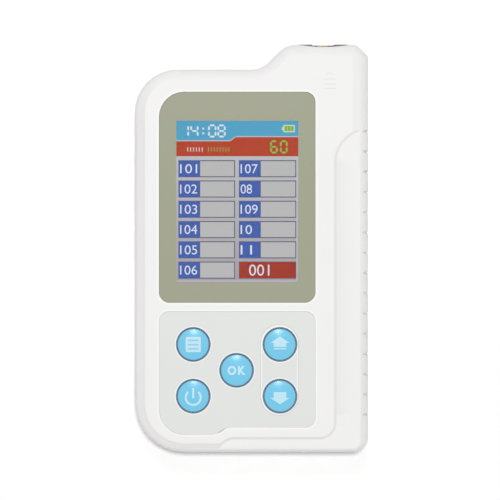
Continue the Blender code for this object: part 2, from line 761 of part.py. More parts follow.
def make_front_shell(plastic, ticks):
    shell = part_object("front_shell", front_solid(), plastic, 30)
    cut(shell, "front_hollow", front_solid(WALL, CEILING_Z, SPLIT_Z - CUT, INNER_ROUND_STEPS))
    join(shell, "front_bosses", rods(CASE_SCREWS, BOSS_RADIUS, FRONT_RIM, CEILING_Z + CUT))
    join(shell, "board_posts", rods(BOARD_SCREWS, POST_RADIUS, BOARD_Z + SEAT_GAP, CEILING_Z + CUT, 12))
    combine(shell, grip_step_cutter(), "DIFFERENCE")
    combine(shell, ticks, "DIFFERENCE")
    combine(shell, tongue_groove(), "DIFFERENCE")
    cut(shell, "lens_recess", slab(lens_corners(), FRONT_Z - LENS_RECESS, FRONT_Z + CUT))
    window_low = (WINDOW_LEFT, WINDOW_LOW, CEILING_Z - CUT)
    cut(shell, "window", box(window_low, (WINDOW_RIGHT, WINDOW_HIGH, FRONT_Z)))
    cut(shell, "keypad_recess", slab(keypad_corners(), FRONT_Z - KEYPAD_RECESS, FRONT_Z + CUT))
    key_holes = rods(key_places().values(), KEY_RADIUS + SEAT_GAP, CEILING_Z - CUT, FRONT_Z, KEY_STEPS)
    cut(shell, "key_holes", key_holes)
    cut(shell, "front_mouth", mouth_box())
    cut(shell, "finger_scoop", scoop())
    cut(shell, "socket_hole", socket_box(SEAT_GAP, BOTTOM - CUT, BOTTOM + WALL + CUT))
    cut(shell, "socket_flare", socket_box(SOCKET_FLARE, BOTTOM - CUT, BOTTOM + SOCKET_FLARE_DEPTH))
    pilot_top = SPLIT_Z + SCREW_BITE + SEAT_GAP
    cut(shell, "case_pilots", rods(CASE_SCREWS, SCREW_RADIUS + SEAT_GAP, SPLIT_Z, pilot_top, 10))
    small_top = BOARD_Z + SEAT_GAP + SMALL_BITE + SEAT_GAP
    cut(shell, "board_pilots", rods(BOARD_SCREWS, SMALL_SCREW_RADIUS + SIDE_GAP, BOARD_Z, small_top, 8))
    return shell


def tongue_groove():
    """The groove in the front shell's rim, over the rear shell's tongue and clear of the bosses."""
    outer = WALL - TONGUE_WALL - SEAT_GAP
    depth = TONGUE_HEIGHT + SEAT_GAP
    groove, hollow = band(outer, WALL + CUT, FRONT_RIM - CUT, FRONT_RIM + depth)
    groove_cutter = cutter("tongue_groove", groove)
    combine(groove_cutter, cutter("groove_middle", hollow), "DIFFERENCE")
    keep = rods(CASE_SCREWS, BOSS_RADIUS + SEAT_GAP, FRONT_RIM - 2 * CUT, FRONT_RIM + 4 * CUT)
    combine(groove_cutter, cutter("groove_bosses", keep), "DIFFERENCE")
    return groove_cutter


def battery_ribs():
    """Low walls round the battery, open at its corners."""
    bm = bmesh.new()
    low = FLOOR_Z - CUT
    high = FLOOR_Z + BATTERY_RIB_HEIGHT
    centre = [(a + b) / 2 for a, b in zip(BATTERY_LOW, BATTERY_HIGH)]
    near = [(b - a) / 2 + SEAT_GAP for a, b in zip(BATTERY_LOW, BATTERY_HIGH)]
    reach = [half - BATTERY_RIB_GAP for half in near]
    for side in (-1, 1):
        edges = sorted((centre[0] + side * near[0], centre[0] + side * (near[0] + BATTERY_RIB)))
        add_box(bm, (edges[0], centre[1] - reach[1], low), (edges[1], centre[1] + reach[1], high))
        edges = sorted((centre[1] + side * near[1], centre[1] + side * (near[1] + BATTERY_RIB)))
        add_box(bm, (centre[0] - reach[0], edges[0], low), (centre[0] + reach[0], edges[1], high))
    return bm


def motor_cradle():
    """A bed under the motor and a rib on each side of it."""
    bm = bmesh.new()
    left = MOTOR_FACE_X - MOTOR_LENGTH
    right = MOTOR_FACE_X - CRADLE_SETBACK
    bed = PINION_Z - MOTOR_HEIGHT / 2 - SEAT_GAP
    half = MOTOR_WIDTH / 2
    bed_half = half - CRADLE_SETBACK
    add_box(bm, (left, PINION_Y - bed_half, FLOOR_Z - CUT), (right, PINION_Y + bed_half, bed))
    for side in (-1, 1):
        near = PINION_Y + side * (half + SEAT_GAP)
        edges = sorted((near, near + side * BATTERY_RIB))
        add_box(bm, (left, edges[0], FLOOR_Z - CUT), (right, edges[1], PINION_Z))
    return bm


def guide_ribs():
    """Cross ribs under the tray guide."""
    bm = bmesh.new()
    for offset in GUIDE_RIBS:
        y = PINION_Y + offset
        low = (TRAY_X - RAIL_HALF, y, FLOOR_Z - CUT)
        add_box(bm, low, (TRAY_X + RAIL_HALF, y + BATTERY_RIB, GUIDE_UNDER - SEAT_GAP))
    return bm


def make_rear_shell(plastic, ticks):
    shell = part_object("rear_shell", back_solid(), plastic, 30)
    cut(shell, "rear_hollow", back_solid(WALL, FLOOR_Z, SPLIT_Z + CUT, INNER_ROUND_STEPS))
    tongue, hollow = band(WALL - TONGUE_WALL, WALL, REAR_RIM - CUT, REAR_RIM + TONGUE_HEIGHT)
    tongue_wall = cutter("tongue", tongue)
    combine(tongue_wall, cutter("tongue_middle", hollow), "DIFFERENCE")
    combine(shell, tongue_wall, "UNION")
    cut(shell, "tongue_breaks", rods(CASE_SCREWS, BOSS_RADIUS + 2 * SEAT_GAP, REAR_RIM, REAR_RIM + 4 * CUT))
    join(shell, "rear_bosses", rods(CASE_SCREWS, BOSS_RADIUS + SEAT_GAP, FLOOR_Z - CUT, REAR_RIM))
    join(shell, "battery_ribs", battery_ribs())
    join(shell, "motor_cradle", motor_cradle())
    join(shell, "guide_ribs", guide_ribs())
    ear_places = [(EAR_X, y) for y in EAR_YS]
    join(shell, "ear_posts", rods(ear_places, POST_RADIUS, FLOOR_Z - CUT, GUIDE_UNDER - SEAT_GAP, 12))
    combine(shell, ticks, "DIFFERENCE")
    cut(shell, "rear_mouth", mouth_box())
    cut(shell, "counterbores", rods(CASE_SCREWS, SCREW_HEAD_RADIUS + SEAT_GAP, BACK_Z - CUT, SHELF_Z, 14))
    cut(shell, "screw_ways", rods(CASE_SCREWS, SCREW_RADIUS + SEAT_GAP, BACK_Z, SPLIT_Z + CUT, 10))
    foot_floor = FOOT_THICKNESS + SEAT_GAP
    cut(shell, "foot_seats", rods(FEET, FOOT_RADIUS + SEAT_GAP, BACK_Z - CUT, foot_floor, FOOT_STEPS))
    ear_low = GUIDE_UNDER - 2 * SEAT_GAP - SMALL_BITE
    cut(shell, "ear_pilots", rods(ear_places, SMALL_SCREW_RADIUS + SIDE_GAP, ear_low, GUIDE_UNDER, 8))
    return shell


def make_lens(glass):
    low = FRONT_Z - LENS_RECESS + SEAT_GAP
    part_object("screen_lens", slab(lens_corners(), low, low + LENS_THICKNESS, SIDE_GAP), glass, 30)


def make_keypad(film, caps, steel):
    low = FRONT_Z - KEYPAD_RECESS + SEAT_GAP
    sheet = slab(keypad_corners(), low, low + KEYPAD_THICKNESS, SIDE_GAP)
    overlay = part_object("keypad_overlay", sheet, film, 30)
    holes = rods(key_places().values(), KEY_RADIUS + SEAT_GAP, low - CUT, FRONT_Z + CUT, KEY_STEPS)
    cut(overlay, "overlay_holes", holes)
    for name, (x, y) in key_places().items():
        turned(f"{name}_key", key_profile(), (x, y, FRONT_Z), caps, KEY_STEPS)
        turned(f"{name}_snap", snap_profile(), (x, y, SNAP_TOP), steel, SNAP_STEPS)


def key_profile():
    """A domed cap over a shaft, a flange under the shell, and a stem over the snap dome."""
    profile = [(0.0, KEY_PROUD + KEY_DOME)]
    crown_radius = KEY_RADIUS - KEY_EASE
    for share in (0.4, 0.75):
        profile.append((crown_radius * share, KEY_PROUD + KEY_DOME * (1 - share**2)))
    profile += [(crown_radius, KEY_PROUD), (KEY_RADIUS, KEY_PROUD - 2 * KEY_EASE)]
    flange_top = CEILING_Z - SEAT_GAP - FRONT_Z
    flange_under = flange_top - KEY_FLANGE_THICKNESS
    flange_radius = KEY_RADIUS + KEY_FLANGE
    profile += [(KEY_RADIUS, flange_top), (flange_radius, flange_top), (flange_radius, flange_under)]
    stem_end = SNAP_TOP + SEAT_GAP - FRONT_Z
    profile += [(KEY_STEM_RADIUS, flange_under), (KEY_STEM_RADIUS, stem_end), (0.0, stem_end)]
    return profile


def snap_profile():
    """A thin snap dome: its top sheet outwards and down, then back up under itself."""
    outer = [(SNAP_RADIUS * s, -SNAP_HEIGHT * s**2) for s in (0.0, 0.4, 0.75, 1.0)]
    inner_radius = SNAP_RADIUS - SNAP_SHEET
    inner_height = SNAP_HEIGHT - SNAP_SHEET
    inner = [(inner_radius * s, -SNAP_SHEET - inner_height * s**2) for s in (1.0, 0.7, 0.0)]
    return outer + inner


def make_display(panel_face, frame_plastic, flex_film, connector_plastic):
    low = (PANEL_LEFT, PANEL_LOW)
    high = (PANEL_RIGHT, PANEL_HIGH)
    panel = box((*low, PANEL_TOP - PANEL_THICKNESS), (*high, PANEL_TOP))
    part_object("display_panel", panel, panel_face)
    frame = box((*low, BACKLIGHT_UNDER), (*high, BACKLIGHT_TOP))
    backlight = part_object("backlight_frame", frame, frame_plastic)
    pocket_low = (PANEL_LEFT + BACKLIGHT_RIM, PANEL_LOW + BACKLIGHT_RIM, BACKLIGHT_TOP - BACKLIGHT_POCKET)
    pocket_high = (PANEL_RIGHT - BACKLIGHT_RIM, PANEL_HIGH - BACKLIGHT_RIM, BACKLIGHT_TOP + CUT)
    cut(backlight, "backlight_pocket", box(pocket_low, pocket_high))
    make_flex(flex_film, connector_plastic)


def make_flex(film, plastic):
    """The display's flexible circuit bends down from the panel's foot to a connector on the board."""
    middle = (PANEL_LEFT + PANEL_RIGHT) / 2
    near = PANEL_LOW - SEAT_GAP
    far = near - FLEX_REACH
    top = PANEL_TOP - PANEL_THICKNESS / 2 + FLEX_THICKNESS / 2
    foot = BOARD_Z + SEAT_GAP + FLEX_FOOT
    thin = FLEX_THICKNESS
    section = [
        (near, top),
        (far + FLEX_BEND, top),
        (far, top - FLEX_BEND),
        (far, foot),
        (far + thin, foot),
        (far + thin, top - FLEX_BEND - thin / 3),
        (far + FLEX_BEND + thin / 3, top - thin),
        (near, top - thin),
    ]
    half = FLEX_WIDTH / 2
    part_object("display_flex", prism(section, middle - half, middle + half, "X"), film)
    connector_y = far - SEAT_GAP
    half += FLEX_CONNECTOR_SIDE
    connector_low = (middle - half, connector_y - FLEX_CONNECTOR_DEPTH, BOARD_Z + SEAT_GAP)
    connector_high = (middle + half, connector_y, BOARD_Z + SEAT_GAP + FLEX_CONNECTOR_HEIGHT)
    part_object("flex_connector", box(connector_low, connector_high), plastic)


def board_corners():
    return [
        (BOARD_LEFT + BOARD_HEEL, BOARD_LOW, 0),
        (BOARD_RIGHT, BOARD_LOW, 0),
        (BOARD_RIGHT, BOARD_HIGH, 0),
        (BOARD_LEFT + BOARD_CORNER, BOARD_HIGH, 0),
        (BOARD_LEFT, BOARD_HIGH - BOARD_CORNER, 0),
        (BOARD_LEFT, BOARD_LOW + BOARD_HEEL, 0),
    ]


def make_board(laminate, steel, black):
    board = part_object("main_board", slab(board_corners(), BOARD_UNDER, BOARD_Z), laminate)
    holes = rods(BOARD_SCREWS, SMALL_SCREW_RADIUS + SEAT_GAP, BOARD_UNDER - CUT, BOARD_Z + CUT, 8)
    cut(board, "board_holes", holes)
    make_socket(steel)
    under = BOARD_UNDER - SEAT_GAP
    chip_x = LEFT + CHIP_LEFT
    chip_y = TOP - CHIP_DROP
    chip_low = (chip_x - CHIP_SIZE / 2, chip_y - CHIP_SIZE / 2, under - CHIP_THICKNESS)
    chip_high = (chip_x + CHIP_SIZE / 2, chip_y + CHIP_SIZE / 2, under)
    part_object("processor", box(chip_low, chip_high), black)
    buzzer = [
        (0.0, 0.0),
        (BUZZER_RADIUS, 0.0),
        (BUZZER_RADIUS, -BUZZER_HEIGHT),
        (BUZZER_HOLE, -BUZZER_HEIGHT),
        (BUZZER_HOLE, -BUZZER_HEIGHT / 2),
        (0.0, -BUZZER_HEIGHT / 2),
    ]
    turned("buzzer", buzzer, (LEFT + BUZZER_LEFT, BOTTOM + BUZZER_FOOT, under), black, 16)


def make_socket(steel):
    face_y = BOTTOM + SOCKET_RECESS
    back_y = face_y + SOCKET_DEPTH
    socket = part_object("charging_socket", socket_box(0.0, face_y, back_y), steel)
    cut(socket, "socket_mouth", socket_box(-SOCKET_SKIN, face_y - CUT, back_y - CUT))
    tongue_z = BOARD_UNDER - SEAT_GAP - SOCKET_HEIGHT / 2
    half = SOCKET_WIDTH / 2 - SOCKET_TONGUE_INSET
    tongue_low = (-half, face_y + SOCKET_TONGUE_BACK, tongue_z - SOCKET_TONGUE_HALF)
    tongue = box(tongue_low, (half, back_y - CUT / 2, tongue_z + SOCKET_TONGUE_HALF))
    join(socket, "socket_tongue", tongue)


def rack_outline(first_y, teeth):
    """The rack's side view: teeth pointing down, with thinned flanks for backlash."""
    flank = math.tan(PRESSURE_ANGLE)
    tip_z = PITCH_LINE - RACK_ADDENDUM * GEAR_MODULE
    half_pitch_line = TOOTH_PITCH / 4 - BACKLASH / 2
    half_tip = half_pitch_line - (PITCH_LINE - tip_z) * flank
    half_root = half_pitch_line + (RACK_ROOT - PITCH_LINE) * flank
    points = [(first_y - half_root - TOOTH_PITCH / 2, RACK_ROOT)]
    for index in range(teeth):
        y = first_y + index * TOOTH_PITCH
        tooth = ((-half_root, RACK_ROOT), (-half_tip, tip_z), (half_tip, tip_z), (half_root, RACK_ROOT))
        points += [(y + across, height) for across, height in tooth]
    points.append((points[-1][0] + TOOTH_PITCH / 2, RACK_ROOT))
    overlap = TRAY_UNDER + RACK_BACKING
    points += [(points[-1][0], overlap), (points[0][0], overlap)]
    return points


def make_tray(tray_plastic, white):
    """The strip tray: a long carrier with runners, a channel for one strip, and a rack below."""
    half = TRAY_WIDTH / 2
    runner_top = TRAY_UNDER + RUNNER_HEIGHT
    right_side = [
        (half + RUNNER_WIDTH, TRAY_UNDER),
        (half + RUNNER_WIDTH, runner_top),
        (half, runner_top),
        (half, TRAY_TOP),
    ]
    section = mirrored(right_side, TRAY_X)
    tray = part_object("strip_tray", prism(section, TRAY_REAR_Y, TAB_Y + CUT / 2), tray_plastic)
    tab_half = TAB_WIDTH / 2
    tab_low = (TRAY_X - tab_half, TAB_Y, SPLIT_Z - TAB_HEIGHT / 2)
    join(tray, "tray_tab", box(tab_low, (TRAY_X + tab_half, TAB_FRONT_Y, SPLIT_Z + TAB_HEIGHT / 2)))
    outline = rack_outline(RACK_REAR_Y, RACK_TEETH_BEHIND + RACK_SPARE_TEETH + 1)
    join(tray, "tray_rack", prism(outline, TRAY_X - RACK_WIDTH / 2, TRAY_X + RACK_WIDTH / 2, "X"))
    strip_half = STRIP_WIDTH / 2
    floor_z = TRAY_TOP - STRIP_DEPTH
    strip_low = (TRAY_X - strip_half, CHANNEL_REAR_Y, floor_z)
    strip_high = (TRAY_X + strip_half, TAB_FRONT_Y + CUT, TRAY_TOP + CUT)
    cut(tray, "strip_channel", box(strip_low, strip_high))
    notch = bmesh.new()
    notch_y = TAB_FRONT_Y + TAB_NOTCH - TAB_NOTCH_DEPTH
    add_rod(notch, (TRAY_X, notch_y), TAB_NOTCH, floor_z, SPLIT_Z + TAB_HEIGHT, 32)
    cut(tray, "tab_notch", notch)
    pad_half = strip_half - SEAT_GAP
    pad_low = (TRAY_X - pad_half, CHANNEL_REAR_Y + SEAT_GAP, floor_z + SEAT_GAP)
    pad_high = (TRAY_X + pad_half, pad_low[1] + PAD_LENGTH, pad_low[2] + PAD_THICKNESS)
    part_object("reference_pad", box(pad_low, pad_high), white)


def mirrored(right_side, middle):
    """A section from its right half, given from its foot to its top, with x from the middle."""
    left_side = [(-x, z) for x, z in right_side[::-1]]
    return [(middle + x, z) for x, z in right_side + left_side]


def involute_flank(side):
    """Points from a tooth's root to its tip as (radius, angle), on one side of its middle."""
    base = PITCH_RADIUS * math.cos(PRESSURE_ANGLE)
    tip = PITCH_RADIUS + PINION_ADDENDUM * GEAR_MODULE
    root = PITCH_RADIUS - PINION_DEDENDUM * GEAR_MODULE
    at_pitch = math.tan(PRESSURE_ANGLE) - PRESSURE_ANGLE
    half = math.pi / PINION_TEETH / 2 - BACKLASH / 2 / PITCH_RADIUS
    points = [(root, side * (half + at_pitch))]
    for step in range(FLANK_STEPS + 1):
        radius = base + (tip - base) * step / FLANK_STEPS
        roll = math.acos(base / radius)
        points.append((radius, side * (half + at_pitch - (math.tan(roll) - roll))))
    return points


def lying_rod(centre, radius, half_length, segments):
    """A cylinder along X about a centre."""
    bm = bmesh.new()
    x, y, z = centre
    lie = Matrix.Rotation(math.pi / 2, 4, "Y")
    add_rod(bm, (x, y), radius, z - half_length, z + half_length, segments, lie)
    return bm


def make_drive(brass, steel, black):
    """The motor's shaft turns a pinion under the tray's rack."""
    bm = bmesh.new()
    outline = []
    for tooth in range(PINION_TEETH):
        middle = math.pi / 2 + 2 * math.pi * (tooth + 0.5) / PINION_TEETH
        for radius, angle in involute_flank(-1) + involute_flank(1)[::-1]:
            outline.append((radius * math.cos(middle + angle), radius * math.sin(middle + angle)))
    verts = [bm.verts.new((-PINION_WIDTH / 2, y, z)) for y, z in outline]
    raised = bmesh.ops.extrude_face_region(bm, geom=[bm.faces.new(verts)])["geom"]
    far = [element for element in raised if isinstance(element, bmesh.types.BMVert)]
    bmesh.ops.translate(bm, verts=far, vec=(PINION_WIDTH, 0, 0))
    pinion = part_object("drive_pinion", bm, brass)
    axis = (TRAY_X, PINION_Y, PINION_Z)
    pinion.location = axis
    cut(pinion, "pinion_bore", lying_rod(axis, SHAFT_RADIUS + PRESS_GAP, PINION_WIDTH, 16))
    shaft_left = MOTOR_FACE_X - MOTOR_NOSE - CUT
    shaft_right = TRAY_X + RAIL_HALF - SLIDE_GAP
    half = (shaft_right - shaft_left) / 2
    shaft = part_object("drive_shaft", lying_rod((0, 0, 0), SHAFT_RADIUS, half, 16), steel, 30)
    shaft.location = ((shaft_left + shaft_right) / 2, PINION_Y, PINION_Z)
    make_motor(steel, black)


def make_motor(metal, black):
    """A square gearbox, a can with two flats behind it, and the can's plastic end cap."""
    left = MOTOR_FACE_X - MOTOR_LENGTH
    can_right = MOTOR_FACE_X - GEARBOX_LENGTH
    nose_x = MOTOR_FACE_X - MOTOR_NOSE
    half_y = MOTOR_WIDTH / 2
    half_z = MOTOR_HEIGHT / 2
    gearbox_low = (can_right - CUT / 2, PINION_Y - half_y, PINION_Z - half_z)
    gearbox = box(gearbox_low, (nose_x, PINION_Y + half_y, PINION_Z + half_z))
    motor = part_object("gear_motor", gearbox, metal, 30)
    can_half = (can_right - left) / 2
    can_radius = half_y - CAN_INSET
    can = cutter("motor_can", lying_rod((left + can_half, PINION_Y, PINION_Z), can_radius, can_half, 24))
    flats = bmesh.new()
    for side in (-1, 1):
        edges = sorted((PINION_Z + side * (half_z - CAN_INSET), PINION_Z + side * (half_y + CUT)))
        flat_low = (left - CUT, PINION_Y - half_y - CUT, edges[0])
        add_box(flats, flat_low, (can_right + CUT, PINION_Y + half_y + CUT, edges[1]))
    combine(can, cutter("motor_flats", flats), "DIFFERENCE")
    combine(motor, can, "UNION")
    nose = lying_rod((nose_x, PINION_Y, PINION_Z), SHAFT_RADIUS + MOTOR_NOSE_WALL, MOTOR_NOSE, 16)
    join(motor, "motor_nose", nose)
    bore_half = MOTOR_NOSE + CUT + SEAT_GAP
    bore = lying_rod((MOTOR_FACE_X, PINION_Y, PINION_Z), SHAFT_RADIUS + SEAT_GAP, bore_half, 16)
    cut(motor, "motor_bore", bore)
    cap_x = left - SEAT_GAP - MOTOR_CAP / 2
    cap = lying_rod((cap_x, PINION_Y, PINION_Z), half_z, MOTOR_CAP / 2, 20)
    part_object("motor_end_cap", cap, black, 30)


def make_guide(plastic):
    """The tray's channel: walls with a ledge below and a lip above each runner."""
    lip_x = RAIL_HALF - GUIDE_LIP
    runner_room = TRAY_UNDER + RUNNER_HEIGHT + SLIDE_GAP
    floor_top = GUIDE_UNDER + GUIDE_FLOOR
    right_side = [
        (GUIDE_HALF, GUIDE_UNDER),
        (GUIDE_HALF, GUIDE_TOP),
        (lip_x, GUIDE_TOP),
        (lip_x, runner_room),
        (RAIL_HALF, runner_room),
        (RAIL_HALF, LEDGE_TOP),
        (lip_x, LEDGE_TOP),
        (lip_x, floor_top),
    ]
    channel = prism(mirrored(right_side, TRAY_X), GUIDE_REAR_Y, GUIDE_FRONT_Y)
    guide = part_object("tray_guide", channel, plastic)
    ears = bmesh.new()
    for y in EAR_YS:
        low = (GUIDE_LEFT - EAR_WIDTH, y - EAR_LENGTH / 2, GUIDE_UNDER)
        high = (GUIDE_LEFT + GUIDE_WALL / 2, y + EAR_LENGTH / 2, GUIDE_UNDER + EAR_THICKNESS)
        add_box(ears, low, high)
    join(guide, "guide_ears", ears)
    ear_places = [(EAR_X, y) for y in EAR_YS]
    ways = rods(ear_places, SMALL_SCREW_RADIUS + SEAT_GAP, GUIDE_UNDER - CUT, GUIDE_UNDER + 3 * CUT, 8)
    cut(guide, "ear_ways", ways)
    room = PITCH_RADIUS + 2 * GEAR_MODULE
    wide = PINION_WIDTH / 2 + SEAT_GAP * 2
    well_low = (TRAY_X - wide, PINION_Y - room, GUIDE_UNDER - CUT)
    cut(guide, "pinion_well", box(well_low, (TRAY_X + wide, PINION_Y + room, floor_top + CUT)))
    slot_half = SHAFT_RADIUS + SEAT_GAP
    slot_low = (GUIDE_LEFT - CUT, PINION_Y - slot_half, GUIDE_UNDER - CUT)
    slot_high = (TRAY_X + RAIL_HALF, PINION_Y + slot_half, PINION_Z + slot_half)
    cut(guide, "shaft_slot", box(slot_low, slot_high))


def make_head(black, laminate, sensor, lamp_lens):
    """The optical head stands on the guide and looks down at the strip through three bores."""
    half_x = GUIDE_HALF - SEAT_GAP
    half_y = HEAD_LENGTH / 2
    corners = [
        (TRAY_X - half_x, HEAD_Y - half_y, HEAD_ROUNDING),
        (TRAY_X + half_x, HEAD_Y - half_y, HEAD_ROUNDING),
        (TRAY_X + half_x, HEAD_Y + half_y, HEAD_ROUNDING),
        (TRAY_X - half_x, HEAD_Y + half_y, HEAD_ROUNDING),
    ]
    head = part_object("optical_head", slab(corners, HEAD_Z, HEAD_TOP), black, 30)
    cut(head, "detector_bore", rods([(TRAY_X, HEAD_Y)], HEAD_BORE, HEAD_Z - CUT, HEAD_TOP + CUT, 14))
    height = HEAD_TOP - HEAD_Z
    middle = (HEAD_Z + HEAD_TOP) / 2
    lamp_ways = bmesh.new()
    for index, side in enumerate((-1, 1), 1):
        slant = Matrix.Rotation(side * HEAD_SLANT, 4, "X")
        y = HEAD_Y - side * (middle - TRAY_TOP + STRIP_DEPTH)
        add_rod(lamp_ways, (TRAY_X, y), LAMP_BORE, middle - height, middle + height, 12, slant)
        lamp = turned(f"lamp_{index}", lamp_profile(), (TRAY_X, y, middle), lamp_lens, 12)
        lamp.rotation_euler = (side * HEAD_SLANT, 0, 0)
    cut(head, "lamp_bores", lamp_ways)
    board_low = HEAD_TOP + SEAT_GAP
    board_half = SENSOR_BOARD_WIDTH / 2
    low = (TRAY_X - board_half, HEAD_Y - half_y, board_low)
    high = (TRAY_X + board_half, HEAD_Y + half_y, board_low + SENSOR_BOARD_THICKNESS)
    part_object("sensor_board", box(low, high), laminate)
    detector = [
        (0.0, 0.0),
        (DETECTOR_RADIUS, 0.0),
        (DETECTOR_RADIUS, -DETECTOR_LENGTH * 0.7),
        (DETECTOR_RADIUS * 0.6, -DETECTOR_LENGTH),
        (0.0, -DETECTOR_LENGTH),
    ]
    turned("light_detector", detector, (TRAY_X, HEAD_Y, HEAD_TOP), sensor, 12)


def lamp_profile():
    """A small lamp: a flat back towards the sensor board, and a domed lens towards the strip."""
    radius = LAMP_BORE - SEAT_GAP
    half = LAMP_LENGTH / 2
    foot = LAMP_RISE - half
    return [
        (0.0, LAMP_RISE + half),
        (radius, LAMP_RISE + half),
        (radius, foot + radius),
        (radius * 0.7, foot + radius * 0.3),
        (0.0, foot),
    ]


def make_battery(wrap, plug_plastic, lead_cover):
    """A pouch cell in its bay, with its plug on the board and the lead between them."""
    low = (*BATTERY_LOW, BATTERY_Z)
    high = (*BATTERY_HIGH, BATTERY_Z + BATTERY_THICKNESS)
    battery = part_object("battery_pack", box(low, high), wrap, 40)
    rounding = battery.modifiers.new("Pouch edges", "BEVEL")
    rounding.width = BATTERY_ROUNDING
    rounding.segments = 3
    plug_x = BATTERY_LOW[0] + PLUG_LEFT
    plug_y = BATTERY_HIGH[1] + PLUG_REACH
    plug_top = BOARD_UNDER - SEAT_GAP
    plug_low = (plug_x - PLUG_WIDTH / 2, plug_y - PLUG_DEPTH / 2, plug_top - PLUG_HEIGHT)
    plug_high = (plug_x + PLUG_WIDTH / 2, plug_y + PLUG_DEPTH / 2, plug_top)
    part_object("battery_plug", box(plug_low, plug_high), plug_plastic)
    start = Vector((plug_x, BATTERY_HIGH[1] + SEAT_GAP, BATTERY_Z + BATTERY_THICKNESS - LEAD_DROP))
    end = Vector((plug_x, plug_y, plug_low[2] - SEAT_GAP))
    add_lead(start, end, lead_cover)


def add_lead(start, end, cover):
    """The battery's lead: level out of the pouch, then up into the plug, along a quarter ellipse."""
    curve = bpy.data.curves.new("battery_lead", "CURVE")
    curve.dimensions = "3D"
    curve.bevel_depth = LEAD_RADIUS
    curve.bevel_resolution = 2
    curve.use_fill_caps = True
    spline = curve.splines.new("POLY")
    spline.points.add(LEAD_STEPS)
    for index, point in enumerate(spline.points):
        angle = math.pi / 2 * index / LEAD_STEPS
        y = start.y + (end.y - start.y) * math.sin(angle)
        z = start.z + (end.z - start.z) * (1 - math.cos(angle))
        point.co = (start.x, y, z, 1.0)
    curve.materials.append(cover)
    lead = bpy.data.objects.new("battery_lead", curve)
    bpy.data.collections[PART].objects.link(lead)


def screw_profile(radius, head_radius, head_height, length):
    """A screw with its head up: a slightly domed head over a plain shank with a short point."""
    return [
        (0.0, head_height),
        (head_radius * 0.7, head_height * 0.9),
        (head_radius, head_height * 0.45),
        (head_radius, 0.0),
        (radius, 0.0),
        (radius, -length + radius),
        (0.0, -length),
    ]


def make_fasteners(steel, rubber):
    reach = SCREW_BITE + SPLIT_Z - SHELF_Z
    profile = screw_profile(SCREW_RADIUS, SCREW_HEAD_RADIUS, SCREW_HEAD_HEIGHT, reach)
    for index, (x, y) in enumerate(CASE_SCREWS, 1):
        screw = turned(f"case_screw_{index}", profile, (x, y, SHELF_Z - SEAT_GAP), steel, 10)
        screw.rotation_euler = (math.pi, 0, 0)
    reach = BOARD_THICKNESS + 2 * SEAT_GAP + SMALL_BITE
    small = screw_profile(SMALL_SCREW_RADIUS, SMALL_HEAD_RADIUS, SMALL_HEAD_HEIGHT, reach)
    for index, (x, y) in enumerate(BOARD_SCREWS, 1):
        screw = turned(f"board_screw_{index}", small, (x, y, BOARD_UNDER - SEAT_GAP), steel, 8)
        screw.rotation_euler = (math.pi, 0, 0)
    reach = EAR_THICKNESS + 2 * SEAT_GAP + SMALL_BITE
    ear = screw_profile(SMALL_SCREW_RADIUS, SMALL_HEAD_RADIUS, SMALL_HEAD_HEIGHT, reach)
    for index, y in enumerate(EAR_YS, 1):
        place = (EAR_X, y, GUIDE_UNDER + EAR_THICKNESS + SEAT_GAP)
        turned(f"guide_screw_{index}", ear, place, steel, 8)
    foot = [
        (0.0, FOOT_THICKNESS),
        (FOOT_RADIUS, FOOT_THICKNESS),
        (FOOT_RADIUS, FOOT_EASE),
        (FOOT_RADIUS - FOOT_EASE, 0.0),
        (0.0, 0.0),
    ]
    for index, (x, y) in enumerate(FEET, 1):
        turned(f"rubber_foot_{index}", foot, (x, y, 0.0), rubber, FOOT_STEPS)


def main():
    start_scene()
    white_plastic = plain_material("white case plastic", (0.87, 0.87, 0.86), 0.42)
    lens = plain_material("lens", (0.37, 0.38, 0.29), 0.08)
    film = plain_material("keypad film", (0.75, 0.76, 0.74), 0.35)
    blue = plain_material("blue key plastic", (0.22, 0.6, 0.8), 0.15)
    screen = plain_material("display glass", (0.35, 0.4, 0.5), 0.2)
    grey_plastic = plain_material("grey plastic", (0.6, 0.6, 0.6), 0.5)
    flex = plain_material("flexible circuit", (0.55, 0.25, 0.05), 0.4)
    laminate = plain_material("board laminate", (0.02, 0.2, 0.08), 0.4)
    steel = plain_material("steel", (0.6, 0.6, 0.6), 0.3, 1.0)
    black = plain_material("black plastic", (0.02, 0.02, 0.02), 0.5)
    brass = plain_material("brass", (0.7, 0.5, 0.2), 0.3, 1.0)
    tan = plain_material("tan tray plastic", (0.55, 0.33, 0.16), 0.45)
    white = plain_material("white reference", (0.85, 0.85, 0.85), 0.7)
    sensor = plain_material("sensor glass", (0.05, 0.05, 0.08), 0.1)
    wrap = plain_material("battery wrap", (0.35, 0.42, 0.5), 0.45)
    red = plain_material("red lead cover", (0.5, 0.03, 0.02), 0.5)
    rubber = plain_material("rubber", (0.04, 0.04, 0.04), 0.8)
    ticks = grip_tick_cutter()
    make_front_shell(white_plastic, ticks)
    make_rear_shell(white_plastic, ticks)
    make_lens(lens)
    make_keypad(film, blue, steel)
    make_display(screen, grey_plastic, flex, black)
    make_board(laminate, steel, black)
    make_tray(tan, white)
    make_guide(grey_plastic)
    make_drive(brass, steel, black)
    make_head(black, laminate, sensor, white)
    make_battery(wrap, white, red)
    make_fasteners(steel, rubber)


main()
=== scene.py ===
import json
import math

import bmesh
import bpy
from mathutils import Matrix, Vector


